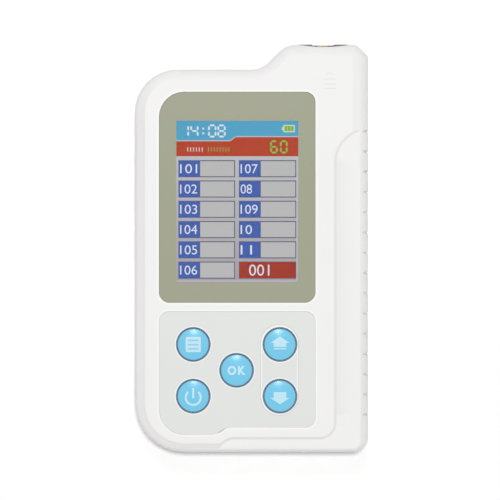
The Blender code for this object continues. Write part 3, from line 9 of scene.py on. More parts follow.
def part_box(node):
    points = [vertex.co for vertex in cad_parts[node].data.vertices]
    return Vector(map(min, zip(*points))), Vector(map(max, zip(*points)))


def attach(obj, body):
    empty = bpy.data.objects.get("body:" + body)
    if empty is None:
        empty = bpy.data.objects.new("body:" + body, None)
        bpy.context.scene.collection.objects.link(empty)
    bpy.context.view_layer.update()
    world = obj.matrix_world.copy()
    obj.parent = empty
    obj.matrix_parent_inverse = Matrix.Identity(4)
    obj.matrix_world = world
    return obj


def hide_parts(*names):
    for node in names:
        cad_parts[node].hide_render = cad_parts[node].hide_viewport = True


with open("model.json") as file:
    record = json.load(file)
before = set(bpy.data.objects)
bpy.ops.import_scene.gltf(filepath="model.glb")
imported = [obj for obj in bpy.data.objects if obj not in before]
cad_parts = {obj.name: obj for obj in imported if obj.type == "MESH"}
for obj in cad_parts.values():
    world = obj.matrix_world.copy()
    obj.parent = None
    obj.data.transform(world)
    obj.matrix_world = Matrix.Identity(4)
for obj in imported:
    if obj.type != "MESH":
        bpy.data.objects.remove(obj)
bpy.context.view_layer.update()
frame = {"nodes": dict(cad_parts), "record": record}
nodes = frame["nodes"]
mm = 0.001
print("frame loaded,", len(nodes), "nodes")

cameraSet = {
    "lens": 150.0,
    "sensor": 36.0,
    "across": 154.6 * mm,  # what the picture's width shows at the front face
    "centre": (-0.46 * mm, -0.54 * mm),
    "picture": 500,  # pixels along each side
    "clip": 20 * mm,
}
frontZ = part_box("keypad_overlay")[1].z
cameraZ = frontZ + cameraSet["across"] * cameraSet["lens"] / cameraSet["sensor"]


def makeCamera():
    data = bpy.data.cameras.new("frontCamera")
    data.lens = cameraSet["lens"]
    data.sensor_width = cameraSet["sensor"]
    data.clip_start = cameraSet["clip"]
    camera = bpy.data.objects.new("frontCamera", data)
    camera.location = (*cameraSet["centre"], cameraZ)
    bpy.context.scene.collection.objects.link(camera)
    bpy.context.scene.camera = camera


def seen(column, row, height):
    # the place at this height that the camera sees at this point of the picture
    step = cameraSet["across"] / cameraSet["picture"] * (cameraZ - height) / (cameraZ - frontZ)
    half = cameraSet["picture"] / 2
    return cameraSet["centre"][0] + (column - half) * step, cameraSet["centre"][1] + (half - row) * step


lightSet = {
    "world": 0.42,
    "worldColour": (1.0, 0.965, 0.99, 1.0),
    "softPlace": (0.02, 0.09, 1.2),
    "softSize": (0.09, 0.07),
    "softPower": 7.45,
    "softColour": (0.98, 1.0, 0.98),
    "glintPlace": (-0.02, 0.285, 0.93),
    "glintSize": (0.14, 0.08),
    "glintPower": 0.7,
}
floorSet = {
    "finish": {"Base_Color": (0.93, 0.93, 0.93, 1), "Roughness": 0.9, "Specular_IOR_Level": 0.1},
    "glow": 0.1,  # the floor's own light, for the eye and for mirrors alone
    "farGlow": 0.62,  # the same far from the part, where the lamps fade
    "farFrom": 0.16,
    "farTo": 0.9,
    "size": 4.0,
}


def tone(red, green, blue):
    # a colour as seen on a screen, 0 to 255, made linear
    linear = []
    for value in (red, green, blue):
        value /= 255
        linear.append(value / 12.92 if value <= 0.04045 else ((value + 0.055) / 1.055) ** 2.4)
    return (*linear, 1.0)


def placeLamp(name, place, size, power):
    data = bpy.data.lights.new(name, "AREA")
    data.shape = "ELLIPSE"
    data.size, data.size_y = size
    data.energy = power
    lamp = bpy.data.objects.new(name, data)
    lamp.location = place
    lamp.rotation_euler = (-Vector(place)).to_track_quat("-Z", "Y").to_euler()
    bpy.context.scene.collection.objects.link(lamp)
    return lamp


def put(tree, socket, value):
    # a plain value is set, and one that comes from another node is linked
    if hasattr(value, "links"):
        tree.links.new(value, socket)
    else:
        socket.default_value = value


def fill(tree, node, **values):
    for label, value in values.items():
        put(tree, node.inputs[label.replace("_", " ")], value)


def maths(tree, operation, *values, clamp=False):
    node = tree.nodes.new("ShaderNodeMath")
    node.operation = operation
    node.use_clamp = clamp
    for socket, value in zip(node.inputs, values):
        put(tree, socket, value)
    return node.outputs[0]


def objectPlace(tree):
    return tree.nodes.new("ShaderNodeTexCoord").outputs["Object"]


def separate(tree, vector):
    node = tree.nodes.new("ShaderNodeSeparateXYZ")
    put(tree, node.inputs[0], vector)
    return node.outputs


def seenDirectly(tree):
    # 1 for what the camera sees itself, in a mirror or through glass
    path = tree.nodes.new("ShaderNodeLightPath").outputs
    mirrored = maths(tree, "MAXIMUM", path["Is Camera Ray"], path["Is Glossy Ray"])
    return maths(tree, "MAXIMUM", mirrored, path["Is Transmission Ray"])


def mixShaders(tree, share, first, second, output):
    mix = tree.nodes.new("ShaderNodeMixShader")
    for socket, value in zip(mix.inputs, (share, first.outputs[0], second.outputs[0])):
        put(tree, socket, value)
    fill(tree, tree.nodes[output], Surface=mix.outputs[0])


def makeLight():
    world = bpy.data.worlds.new("studio")
    world.use_nodes = True
    tree = world.node_tree
    lit = tree.nodes["Background"]
    fill(tree, lit, Color=lightSet["worldColour"], Strength=lightSet["world"])
    white = tree.nodes.new("ShaderNodeBackground")
    fill(tree, white, Color=(1, 1, 1, 1))
    mixShaders(tree, seenDirectly(tree), lit, white, "World Output")
    bpy.context.scene.world = world
    soft = placeLamp("softLamp", lightSet["softPlace"], lightSet["softSize"], lightSet["softPower"])
    soft.data.color = lightSet["softColour"]
    soft.visible_glossy = False
    soft.visible_transmission = False
    placeLamp("glintLamp", lightSet["glintPlace"], lightSet["glintSize"], lightSet["glintPower"])


def makeFloor():
    material = bpy.data.materials.new("floorWhite")
    material.use_nodes = True
    tree = material.node_tree
    shader = tree.nodes["Principled BSDF"]
    fill(tree, shader, **floorSet["finish"])
    away = tree.nodes.new("ShaderNodeVectorMath")
    away.operation = "LENGTH"
    put(tree, away.inputs[0], objectPlace(tree))
    far = tree.nodes.new("ShaderNodeMapRange")
    far.interpolation_type = "SMOOTHSTEP"
    fill(tree, far, Value=away.outputs["Value"], From_Min=floorSet["farFrom"], From_Max=floorSet["farTo"])
    fill(tree, far, To_Min=floorSet["glow"], To_Max=floorSet["farGlow"])
    glow = tree.nodes.new("ShaderNodeEmission")
    fill(tree, glow, Strength=maths(tree, "MULTIPLY", seenDirectly(tree), far.outputs[0]))
    both = tree.nodes.new("ShaderNodeAddShader")
    for socket, node in zip(both.inputs, (shader, glow)):
        put(tree, socket, node.outputs[0])
    fill(tree, tree.nodes["Material Output"], Surface=both.outputs[0])
    bm = bmesh.new()
    bmesh.ops.create_grid(bm, x_segments=2, y_segments=2, size=floorSet["size"] / 2)
    mesh = bpy.data.meshes.new("floor")
    bm.to_mesh(mesh)
    bm.free()
    mesh.materials.append(material)
    floor = bpy.data.objects.new("floor", mesh)
    bpy.context.scene.collection.objects.link(floor)


makeCamera()
makeLight()
makeFloor()
print("camera, light and floor placed")


# Node groups: each gives colours, masks and heights to several materials
def newGroup(name, inputs, outputs):
    # inputs: each with its default, which is None for a vector
    group = bpy.data.node_groups.new(name, "ShaderNodeTree")
    for label, default in inputs.items():
        kind = {tuple: "NodeSocketColor", float: "NodeSocketFloat"}.get(type(default), "NodeSocketVector")
        socket = group.interface.new_socket(name=label, in_out="INPUT", socket_type=kind)
        if default is not None:
            socket.default_value = default
    for label in outputs:
        kind = "NodeSocketColor" if label == "Colour" else "NodeSocketFloat"
        group.interface.new_socket(name=label, in_out="OUTPUT", socket_type=kind)
    return group, group.nodes.new("NodeGroupInput").outputs, group.nodes.new("NodeGroupOutput")


def noise(tree, vector, scale, detail):
    node = tree.nodes.new("ShaderNodeTexNoise")
    fill(tree, node, Vector=vector, Scale=scale, Detail=detail)
    return node.outputs["Fac"]


def blend(tree, share, first, second):
    node = tree.nodes.new("ShaderNodeMix")
    node.data_type = "RGBA"
    for index, value in ((0, share), (6, first), (7, second)):
        put(tree, node.inputs[index], value)
    return node.outputs[2]


groupSet = {
    "driftScale": 45.0,  # slow change of tint and shine over a moulding
    "driftDetail": 3.0,
    "grainDetail": 2.0,
    "lineStretch": (0.06, 1.0, 1.0),
    "lineShine": 0.15,
    "stainScale": 300.0,
    "stainDetail": 3.0,
    "pixelGap": 0.11,  # in rows of the display
    "pixelScale": 1200.0,
    "pixelDrift": 0.05,
    "fineDetail": 1.0,
}


def makeMouldedGrain():
    # fine spark-eroded texture of a moulding, with a slow drift in tint and shine
    inputs = {
        "Vector": None,
        "Colour": (0.8, 0.8, 0.8, 1),
        "Tint": (0.7, 0.7, 0.7, 1),
        "Tint Share": 0.2,
        "Roughness": 0.4,
        "Spread": 0.08,
        "Grain Scale": 2500.0,
    }
    group, given, end = newGroup("mouldedGrain", inputs, ("Colour", "Roughness", "Height"))
    slow = noise(group, given["Vector"], groupSet["driftScale"], groupSet["driftDetail"])
    fine = noise(group, given["Vector"], given["Grain Scale"], groupSet["grainDetail"])
    share = maths(group, "MULTIPLY", slow, given["Tint Share"], clamp=True)
    drift = maths(group, "MULTIPLY", maths(group, "SUBTRACT", slow, 0.5), given["Spread"])
    rough = maths(group, "ADD", given["Roughness"], drift, clamp=True)
    colour = blend(group, share, given["Colour"], given["Tint"])
    fill(group, end, Colour=colour, Roughness=rough, Height=fine)
    return group


def makeBrushedLines():
    # fine drawn lines along X, as on stamped and turned metal
    inputs = {
        "Vector": None,
        "Colour": (0.6, 0.6, 0.6, 1),
        "Dark": (0.4, 0.4, 0.4, 1),
        "Roughness": 0.3,
        "Line Scale": 9000.0,
    }
    group, given, end = newGroup("brushedLines", inputs, ("Colour", "Roughness", "Height"))
    stretch = group.nodes.new("ShaderNodeVectorMath")
    stretch.operation = "MULTIPLY"
    for socket, value in zip(stretch.inputs, (given["Vector"], groupSet["lineStretch"])):
        put(group, socket, value)
    lines = noise(group, stretch.outputs[0], given["Line Scale"], groupSet["fineDetail"])
    stain = noise(group, given["Vector"], groupSet["stainScale"], groupSet["stainDetail"])
    colour = blend(group, maths(group, "MULTIPLY", lines, stain), given["Colour"], given["Dark"])
    spread = maths(group, "MULTIPLY", lines, groupSet["lineShine"])
    rough = maths(group, "ADD", given["Roughness"], spread, clamp=True)
    fill(group, end, Colour=colour, Roughness=rough, Height=lines)
    return group


def makePixelGrid():
    # the rows and columns of a small colour display
    inputs = {"Vector": None, "Colour": (0.5, 0.5, 0.5, 1), "Pitch": 0.18 * mm, "Depth": 0.12}
    group, given, end = newGroup("pixelGrid", inputs, ("Colour",))
    place = separate(group, given["Vector"])
    lines = []
    for axis in ("X", "Y"):
        wave = maths(group, "PINGPONG", maths(group, "DIVIDE", place[axis], given["Pitch"]), 0.5)
        lines.append(maths(group, "LESS_THAN", wave, groupSet["pixelGap"]))
    line = maths(group, "MAXIMUM", *lines)
    cell = noise(group, given["Vector"], groupSet["pixelScale"], groupSet["fineDetail"])
    drift = maths(group, "MULTIPLY", maths(group, "SUBTRACT", cell, 0.5), groupSet["pixelDrift"])
    shade = maths(group, "ADD", maths(group, "MULTIPLY", line, given["Depth"]), drift, clamp=True)
    fill(group, end, Colour=blend(group, shade, given["Colour"], (0.0, 0.0, 0.0, 1)))
    return group


mouldedGrain = makeMouldedGrain()
brushedLines = makeBrushedLines()
pixelGrid = makePixelGrid()


def startMaterial(name, **values):
    material = bpy.data.materials.new(name)
    material.use_nodes = True
    material.diffuse_color = values["Base_Color"]
    tree = material.node_tree
    shader = tree.nodes["Principled BSDF"]
    fill(tree, shader, **values)
    return material, tree, shader


def addBump(tree, shader, height, strength, distance):
    bump = tree.nodes.new("ShaderNodeBump")
    fill(tree, bump, Height=height, Strength=strength, Distance=distance)
    fill(tree, shader, Normal=bump.outputs[0])


def placeGroup(tree, group, **values):
    node = tree.nodes.new("ShaderNodeGroup")
    node.node_tree = group
    fill(tree, node, Vector=objectPlace(tree), **values)
    return node.outputs


def dress(tree, shader, colour, roughness, height, bump, depth):
    fill(tree, shader, Base_Color=colour, Roughness=roughness)
    addBump(tree, shader, height, bump, depth)


def grained(tree, colour, tint, roughness, share, scale):
    shine = {"Roughness": roughness, "Grain_Scale": scale}
    return placeGroup(tree, mouldedGrain, Colour=colour, Tint=tint, Tint_Share=share, **shine)


def plastic(name, colour, tint, roughness, share, scale, bump, depth=0.02 * mm, paintedShade=None, **extra):
    # share: how much of the tint shows. masked: a darker colour, painted shade laid where the mesh's own
    # "slope" mask says
    material, tree, shader = startMaterial(name, Base_Color=colour, **extra)
    grain = grained(tree, colour, tint, roughness, share, scale)
    shown = grain["Colour"]
    if paintedShade:
        mask = tree.nodes.new("ShaderNodeAttribute")
        mask.attribute_name = "slope"
        shown = blend(tree, mask.outputs["Fac"], shown, paintedShade)
    dress(tree, shader, shown, grain["Roughness"], grain["Height"], bump, depth)
    return material


def metal(name, colour, dark, roughness, bump=0.15, depth=0.01 * mm):
    material, tree, shader = startMaterial(name, Base_Color=colour, Metallic=1.0)
    lines = placeGroup(tree, brushedLines, Colour=colour, Dark=dark, Roughness=roughness)
    dress(tree, shader, lines["Colour"], lines["Roughness"], lines["Height"], bump, depth)
    return material


unlit = {"Base_Color": (0.01, 0.01, 0.01, 1), "Roughness": 0.6, "Specular_IOR_Level": 0.0}
pane = {"Base_Color": (0.97, 0.98, 0.97, 1), "Roughness": 0.02, "IOR": 1.22, "Transmission_Weight": 1.0}


def screenInk(name, colour, shine, depth=0.1):
    # lit display colour with its pixel rows
    material, tree, shader = startMaterial(name, Emission_Strength=shine, **unlit)
    fill(tree, shader, Emission_Color=placeGroup(tree, pixelGrid, Colour=colour, Depth=depth)["Colour"])
    return material


def clearPane(name, scale=900.0, bump=0.01, depth=0.005 * mm):
    # clear moulded window: glass to the eye, open to the lamps
    material, tree, shader = startMaterial(name, **pane)
    addBump(tree, shader, placeGroup(tree, mouldedGrain, Grain_Scale=scale)["Height"], bump, depth)
    path = tree.nodes.new("ShaderNodeLightPath")
    opening = tree.nodes.new("ShaderNodeBsdfTransparent")
    mixShaders(tree, path.outputs["Is Shadow Ray"], shader, opening, "Material Output")
    return material


def glossy(*values, coat=0.08):
    # a plastic under a clear, smooth coat
    return plastic(*values, 0.01, 0.005 * mm, Coat_Weight=1.0, Coat_Roughness=coat)


# name, colour, tint, roughness, share of the tint, grain and bump
# painted shade: darker colour for the case's rounded sides and the grip step's slope
shellSlopeShade = tone(228, 225, 226)
shellWhite = plastic(
    "shellWhite", tone(239, 239, 238), tone(235, 234, 235), 0.38, 0.6, 2600.0, 0.12, paintedShade=shellSlopeShade
)
# painted highlight: the bright rim round the lens
caseRimHighlight = plastic("caseRimHighlight", tone(246, 246, 240), tone(242, 242, 236), 0.3, 0.5, 2600.0, 0.08)
markShade = plastic("markShade", tone(229, 228, 228), tone(224, 223, 224), 0.4, 0.5, 2600.0, 0.1)
lensBorder = glossy("lensBorder", tone(150, 153, 129), tone(146, 149, 126), 0.3, 0.5, 1500.0, coat=0.04)
lensEdge = plastic("lensEdge", tone(126, 128, 112), tone(120, 122, 108), 0.25, 0.5, 1500.0, 0.05)
lensShade = plastic("lensShade", tone(92, 100, 100), tone(84, 92, 94), 0.6, 0.4, 1500.0, 0.02)
lensClear = clearPane("lensClear")
filmGrey = plastic("filmGrey", tone(225, 227, 224), tone(220, 222, 219), 0.45, 0.6, 3200.0, 0.2)
# white print, also the painted highlight on the case's rim round the film
printWhiteAndRimHighlight = plastic("printWhiteAndRimHighlight", tone(246, 247, 245), tone(241, 243, 241), 0.4, 0.4, 3200.0, 0.1)
printGrey = plastic("printGrey", tone(206, 209, 207), tone(200, 204, 202), 0.4, 0.4, 3200.0, 0.1)
keyBlue = glossy("keyBlue", tone(106, 197, 231), tone(100, 192, 227), 0.3, 0.5, 1800.0, coat=0.2)
# painted shade: the darker blue-grey of the gap round each key
keyRimShade = plastic("keyRimShade", tone(112, 140, 162), tone(100, 128, 150), 0.35, 0.4, 1800.0, 0.05)
iconPale = glossy("iconPale", tone(190, 228, 242), tone(184, 222, 238), 0.3, 0.4, 1800.0)
iconMiddle = glossy("iconMiddle", tone(140, 205, 232), tone(134, 198, 226), 0.3, 0.4, 1800.0)
print("shell, lens and key materials made")

clear = {"Coat_Weight": 1.0}
partClear = {"Coat_Weight": 0.6}
thinClear = {"Coat_Weight": 0.5}
panelGlass = plastic("panelGlass", tone(70, 74, 80), tone(52, 56, 62), 0.15, 0.5, 1200.0, 0.02, **partClear)
guidePlastic = plastic("guidePlastic", tone(168, 170, 172), tone(150, 152, 155), 0.5, 0.5, 2200.0, 0.2)
drawnSteel = metal("drawnSteel", (0.62, 0.63, 0.64, 1), (0.36, 0.37, 0.39, 1), 0.28)
housingBlack = plastic("housingBlack", tone(38, 38, 40), tone(54, 54, 57), 0.5, 0.5, 2200.0, 0.3)
cutBrass = metal("cutBrass", (0.72, 0.53, 0.24, 1), (0.45, 0.31, 0.12, 1), 0.25)
padWhite = plastic("referenceWhite", tone(238, 238, 232), tone(228, 227, 220), 0.6, 0.5, 2600.0, 0.25)
sensorResin = plastic("sensorResin", tone(46, 40, 58), tone(30, 26, 40), 0.12, 0.5, 900.0, 0.02, **clear)
foil = plastic("batteryFoil", tone(178, 182, 186), tone(140, 144, 150), 0.32, 0.6, 700.0, 0.3, Metallic=0.5)
flexAmber = plastic("flexAmber", tone(196, 122, 46), tone(168, 96, 34), 0.3, 0.6, 1500.0, 0.05, **thinClear)
lampResin = plastic("lampResin", tone(232, 236, 240), tone(214, 220, 228), 0.08, 0.5, 900.0, 0.02, **clear)
leadRed = plastic("leadRed", tone(176, 38, 34), tone(150, 28, 28), 0.42, 0.5, 2400.0, 0.1)
footRubber = plastic("footRubber", tone(74, 74, 76), tone(60, 60, 63), 0.75, 0.6, 1800.0, 0.4)
print("inner materials made")

boardSet = {
    "finish": {"Base_Color": tone(32, 92, 58), "Coat_Weight": 0.4},
    "resist": (tone(28, 88, 56), tone(22, 74, 46), 0.35, 0.6, 1500.0),  # as for a plastic, without its bump
    "track": tone(74, 132, 74),
    "cells": 260.0,
    "trackWidth": 0.035,
    "trackSoft": 0.1,
    "patches": 140.0,
    "patchFrom": 0.48,
    "bump": 0.3,
    "depth": 0.03 * mm,
}


def makeLaminate():
    # green solder resist with copper tracks under it
    material, tree, shader = startMaterial("boardLaminate", **boardSet["finish"])
    base = grained(tree, *boardSet["resist"])
    place = objectPlace(tree)
    cells = tree.nodes.new("ShaderNodeTexBrick")
    sizes = {"Mortar_Size": boardSet["trackWidth"], "Mortar_Smooth": boardSet["trackSoft"]}
    fill(tree, cells, Vector=place, Scale=boardSet["cells"], **sizes)
    fill(tree, cells, Color1=(0, 0, 0, 1), Color2=(0, 0, 0, 1), Mortar=(1, 1, 1, 1))
    patches = noise(tree, place, boardSet["patches"], groupSet["fineDetail"])
    laid = maths(tree, "GREATER_THAN", patches, boardSet["patchFrom"])
    tracks = maths(tree, "MULTIPLY", cells.outputs["Color"], laid)
    shown = blend(tree, tracks, base["Colour"], boardSet["track"])
    dress(tree, shader, shown, base["Roughness"], tracks, boardSet["bump"], boardSet["depth"])
    return material


traySet = {
    "body": (tone(112, 107, 104), tone(96, 92, 90), 0.4, 0.5, 2400.0),
    "bump": 0.15,
    "depth": 0.02 * mm,
    "channel": tone(206, 150, 84),
    "mark": tone(180, 162, 126),
    "channelHalf": 2.75 * mm,  # from the channel's middle to its wall
    "markHalf": 1.6 * mm,  # the same on the tab
    "tab": 2.8 * mm,  # how far the tab reaches back from its front
    "floorDrop": 1.0 * mm,  # how far below the white pad amber may reach
}


def makeTrayFinish():
    # smoky grey tray whose strip channel is amber
    material, tree, shader = startMaterial("trayTwoTone", Base_Color=traySet["body"][0])
    grain = grained(tree, *traySet["body"])
    place = separate(tree, objectPlace(tree))
    low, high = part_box("reference_pad")
    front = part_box("strip_tray")[1].y
    across = maths(tree, "ABSOLUTE", maths(tree, "SUBTRACT", place["X"], (low.x + high.x) / 2))
    onTab = maths(tree, "GREATER_THAN", place["Y"], front - traySet["tab"])
    narrower = maths(tree, "MULTIPLY", onTab, traySet["channelHalf"] - traySet["markHalf"])
    within = maths(tree, "LESS_THAN", maths(tree, "ADD", across, narrower), traySet["channelHalf"])
    above = maths(tree, "GREATER_THAN", place["Z"], low.z - traySet["floorDrop"])
    share = maths(tree, "MULTIPLY", within, above)
    amber = blend(tree, onTab, traySet["channel"], traySet["mark"])
    shown = blend(tree, share, grain["Colour"], amber)
    dress(tree, shader, shown, grain["Roughness"], grain["Height"], traySet["bump"], traySet["depth"])
    return material


slotFinish = {
    "case": shellWhite,
    "lens": lensBorder,
    "keypad_film": filmGrey,
    "key_cap": keyBlue,
    "display": panelGlass,
    "grey_plastic": guidePlastic,
    "board": makeLaminate(),
    "steel": drawnSteel,
    "black_plastic": housingBlack,
    "brass": cutBrass,
    "tray": makeTrayFinish(),
    "reference": padWhite,
    "sensor": sensorResin,
    "battery": foil,
    "flex_film": flexAmber,
    "lamp_resin": lampResin,
    "lead_cover": leadRed,
    "rubber": footRubber,
}
for part in frame["record"]["subparts"]:
    for slot in nodes[part["node"]].material_slots:
        slot.material = slotFinish[part["material_slot"]]
print("every CAD node has its finish")

meshSet = {
    "weld": 0.001 * mm,
    "copyWeld": 0.002 * mm,  # for copies of CAD nodes
    "copyFlat": 0.4,  # degrees, below which a copy's triangles become one face
    "fontWeld": 0.0001,  # of a letter's size
    "fontSteps": 4,
    "sharp": 30.0,  # degrees
    "evenWeight": 90,
    "easeFrom": 0.5,  # radians, above which an edge is eased
}


def finishPiece(name, bm, materials, stands=(), body="housing", sharp=None, weighted=False):
    # makes the object; stands: the CAD nodes it takes the place of
    bmesh.ops.remove_doubles(bm, verts=bm.verts, dist=meshSet["weld"])
    bmesh.ops.recalc_face_normals(bm, faces=bm.faces)
    mesh = bpy.data.meshes.new(name)
    bm.to_mesh(mesh)
    bm.free()
    for material in materials:
        mesh.materials.append(material)
    mesh.shade_smooth()
    mesh.set_sharp_from_angle(angle=math.radians(sharp or meshSet["sharp"]))
    obj = bpy.data.objects.new(name, mesh)
    bpy.context.scene.collection.objects.link(obj)
    if weighted:
        modifier = obj.modifiers.new("evenShading", "WEIGHTED_NORMAL")
        modifier.keep_sharp = True
        modifier.weight = meshSet["evenWeight"]
    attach(obj, body)
    if stands:
        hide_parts(*stands)
    print(name, len(mesh.polygons), "faces")


def joinInto(target, source, material=0, move=None):
    # puts one mesh under work into another
    if move is not None:
        bmesh.ops.transform(source, matrix=move, verts=source.verts)
    for face in source.faces:
        face.material_index = material
    spare = bpy.data.meshes.new("spare")
    source.to_mesh(spare)
    source.free()
    target.from_mesh(spare)
    bpy.data.meshes.remove(spare)


def flatShape(corners, height, segments=10):
    # one flat face; each corner is (x, y, radius)
    bm = bmesh.new()
    verts = [bm.verts.new((x, y, height)) for x, y, radius in corners]
    bm.faces.new(verts)
    places = [Vector((x, y)) for x, y, radius in corners]
    for index, vert in enumerate(verts):
        radius = corners[index][2]
        if radius:
            before = places[index] - places[index - 1]
            after = places[(index + 1) % len(places)] - places[index]
            reach = radius * math.tan(before.angle(after) / 2)
            bmesh.ops.bevel(
                bm, geom=[vert], offset=reach, affect="VERTICES",
                segments=segments, profile=0.5, material=-1,
            )
    return bm


def raiseFaces(bm, rise):
    # makes a closed plate of a flat shape
    made = bmesh.ops.extrude_face_region(bm, geom=bm.faces[:])
    moved = [item for item in made["geom"] if isinstance(item, bmesh.types.BMVert)]
    bmesh.ops.translate(bm, verts=moved, vec=(0, 0, rise))
    bmesh.ops.recalc_face_normals(bm, faces=bm.faces)


def easeEdges(bm, height, width, segments=2):
    # rounds the edges that lie at this height
    edges = []
    for edge in bm.edges:
        level = all(abs(vert.co.z - height) < meshSet["weld"] for vert in edge.verts)
        if level and len(edge.link_faces) == 2 and edge.calc_face_angle() > meshSet["easeFrom"]:
            edges.append(edge)
    bmesh.ops.bevel(
        bm, geom=edges, offset=width, affect="EDGES",
        segments=segments, profile=0.5, material=-1, clamp_overlap=True,
    )


def plate(corners, low, high, segments=10):
    bm = flatShape(corners, low, segments)
    raiseFaces(bm, high - low)
    return bm


def strip(x0, y0, x1, y1, radius=0.0):
    # the corners of an upright rectangle
    left, right = sorted((x0, x1))
    foot, head = sorted((y0, y1))
    return [(left, foot, radius), (right, foot, radius), (right, head, radius), (left, head, radius)]


def cutAcross(bm, place, normal):
    # new edges where a plane crosses the mesh
    parts = bm.verts[:] + bm.edges[:] + bm.faces[:]
    bmesh.ops.bisect_plane(bm, geom=parts, plane_co=place, plane_no=normal)


def words(text, height, low, high, wide=1.0, weight=0.0, spacing=1.0):
    # flat letters or figures of this height, centred on the origin
    curve = bpy.data.curves.new("words", "FONT")
    curve.body = text
    curve.align_x = "CENTER"
    curve.align_y = "CENTER"
    curve.resolution_u = meshSet["fontSteps"]
    curve.offset = weight
    curve.space_character = spacing
    obj = bpy.data.objects.new("words", curve)
    mesh = bpy.data.meshes.new_from_object(obj)
    bpy.data.objects.remove(obj)
    bpy.data.curves.remove(curve)
    bm = bmesh.new()
    bm.from_mesh(mesh)
    bpy.data.meshes.remove(mesh)
    bmesh.ops.remove_doubles(bm, verts=bm.verts, dist=meshSet["fontWeld"])
    left, right = [pick(vert.co.x for vert in bm.verts) for pick in (min, max)]
    foot, head = [pick(vert.co.y for vert in bm.verts) for pick in (min, max)]
    size = height / (head - foot)
    bmesh.ops.translate(bm, verts=bm.verts, vec=(-(right + left) / 2, -(head + foot) / 2, 0))
    bmesh.ops.scale(bm, verts=bm.verts, vec=(size * wide, size, 1))
    bmesh.ops.translate(bm, verts=bm.verts, vec=(0, 0, low))
    raiseFaces(bm, high - low)
    return bm


def mergedCopy(node):
    # a CAD node's mesh with its triangles joined into whole faces
    bm = bmesh.new()
    bm.from_mesh(nodes[node].data)
    bmesh.ops.remove_doubles(bm, verts=bm.verts, dist=meshSet["copyWeld"])
    flat = math.radians(meshSet["copyFlat"])
    bmesh.ops.dissolve_limit(bm, angle_limit=flat, verts=bm.verts, edges=bm.edges)
    return bm


caseSet = {
    "sharp": 29.0,  # degrees
    "tickDrop": 27.1 * mm,  # from the top edge to the first grip tick
    "tickPitch": 6.27 * mm,
    "tickCount": 15,
    "tickSide": 0.45 * mm,  # from a tick's middle to the cuts beside it
    "tickReach": 3.5 * mm,
    "level": 0.999,  # upward part of a face's normal: flat above this,
    "bend": 0.955,  # the start of the rounding above this,
    "steep": 0.8,  # and its middle above this
    "shares": (1.0, 0.55, 0.25),  # painted shade at the start, at the middle, and for the right side's start
    "fadeFrom": 0.1,  # headward part of the direction where the painted shade starts to fade, as faces turn to the light
    "fadeTo": 0.9,
    "least": 0.15,
    "step": 0.5 * mm,  # height of the grip's step
    "within": 0.02 * mm,
}


def slopeShadeShare(face):
    # how much painted shade a face gets: on the case's rounded sides, less where they turn headward to the
    # light, and all of it on the slope of the grip's step
    up = face.normal.z
    if up > caseSet["level"] or up < caseSet["steep"]:
        return 0.0
    heights = [vert.co.z for vert in face.verts]
    misses = (max(heights) - frontZ, max(heights) - min(heights) - caseSet["step"])
    if all(abs(miss) < caseSet["within"] for miss in misses):
        return 1.0
    start, middle, right = caseSet["shares"]
    share = start if up > caseSet["bend"] else middle
    across = math.hypot(face.normal.x, face.normal.y)
    if face.normal.x > across / 2:
        share = right if up > caseSet["bend"] else 0.0
    fade = (face.normal.y / across - caseSet["fadeFrom"]) / (caseSet["fadeTo"] - caseSet["fadeFrom"])
    return share * (1 - (1 - caseSet["least"]) * min(1.0, max(0.0, fade)))


def makeCase():
    # cuts across the right edge beside each tick keep the shading between them even
    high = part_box("front_shell")[1]
    inner = high.x - caseSet["tickReach"]
    for shell in ("front_shell", "rear_shell"):
        bm = mergedCopy(shell)
        for index in range(caseSet["tickCount"]):
            for side in (-1, 1):
                y = high.y - caseSet["tickDrop"] - index * caseSet["tickPitch"] + side * caseSet["tickSide"]
                near = [face for face in bm.faces if max(vert.co.x for vert in face.verts) > inner]
                parts = set(near)
                for face in near:
                    parts.update(face.edges)
                    parts.update(face.verts)
                bmesh.ops.bisect_plane(bm, geom=list(parts), plane_co=(0, y, 0), plane_no=(0, 1, 0))
        bm.normal_update()
        mask = bm.faces.layers.float.new("slope")
        # painted shade share for each face, read by the case material
        for face in bm.faces:
            face[mask] = slopeShadeShare(face)
        name = shell.split("_")[0] + "Case"
        finishPiece(name, bm, [shellWhite], (shell,), sharp=caseSet["sharp"], weighted=True)


makeCase()
print("case made")

lensSet = {
    "radius": 3.1 * mm,
    "bigRadius": 7.7 * mm,
    "windowSide": 5.08 * mm,
    "windowTop": 8.66 * mm,
    "windowFoot": 5.9 * mm,
    "under": 0.35 * mm,  # how much wider the clear part is underneath
    "shadeIn": 0.24 * mm,  # dark band under the lens, painted shade at the window's edge, this far into the window
    "shadeOut": 1.2 * mm,  # and this far behind the border
    "shadeThick": 0.04 * mm,
    "lift": 1.5,  # the lens over the dark shade band's foot, in thicknesses of the band
    "lip": 0.08 * mm,
    "segments": 14,
    "lipSegments": 3,
    "side": 0.9,  # upward part of a face's normal, below which it is a side
    "grow": 0.2 * mm,  # fills most of the gap to the case
    "rimGap": 0.3 * mm,
    "rimWide": 0.6 * mm,  # bright rim of the case round the lens, a painted highlight of its edge
    "rimProud": 0.02 * mm,
}


def lensWindow():
    low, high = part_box("screen_lens")
    left = low.x + lensSet["windowSide"]
    right = high.x - lensSet["windowSide"]
    return left, low.y + lensSet["windowFoot"], right, high.y - lensSet["windowTop"]


def lensCorners(grow):
    low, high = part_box("screen_lens")
    corners = strip(low.x - grow, low.y - grow, high.x + grow, high.y + grow, lensSet["radius"] + grow)
    corners[3] = (low.x - grow, high.y + grow, lensSet["bigRadius"] + grow)
    return corners


def hoop(corners, width, low, high, segments):
    # a flat closed band along the inside of an outline
    bm = flatShape(corners, low, segments)
    made = bmesh.ops.inset_region(
        bm, faces=bm.faces[:], thickness=width, use_even_offset=True, use_boundary=True
    )
    middle = [face for face in bm.faces if face not in made["faces"]]
    bmesh.ops.delete(bm, geom=middle, context="FACES")
    raiseFaces(bm, high - low)
    return bm


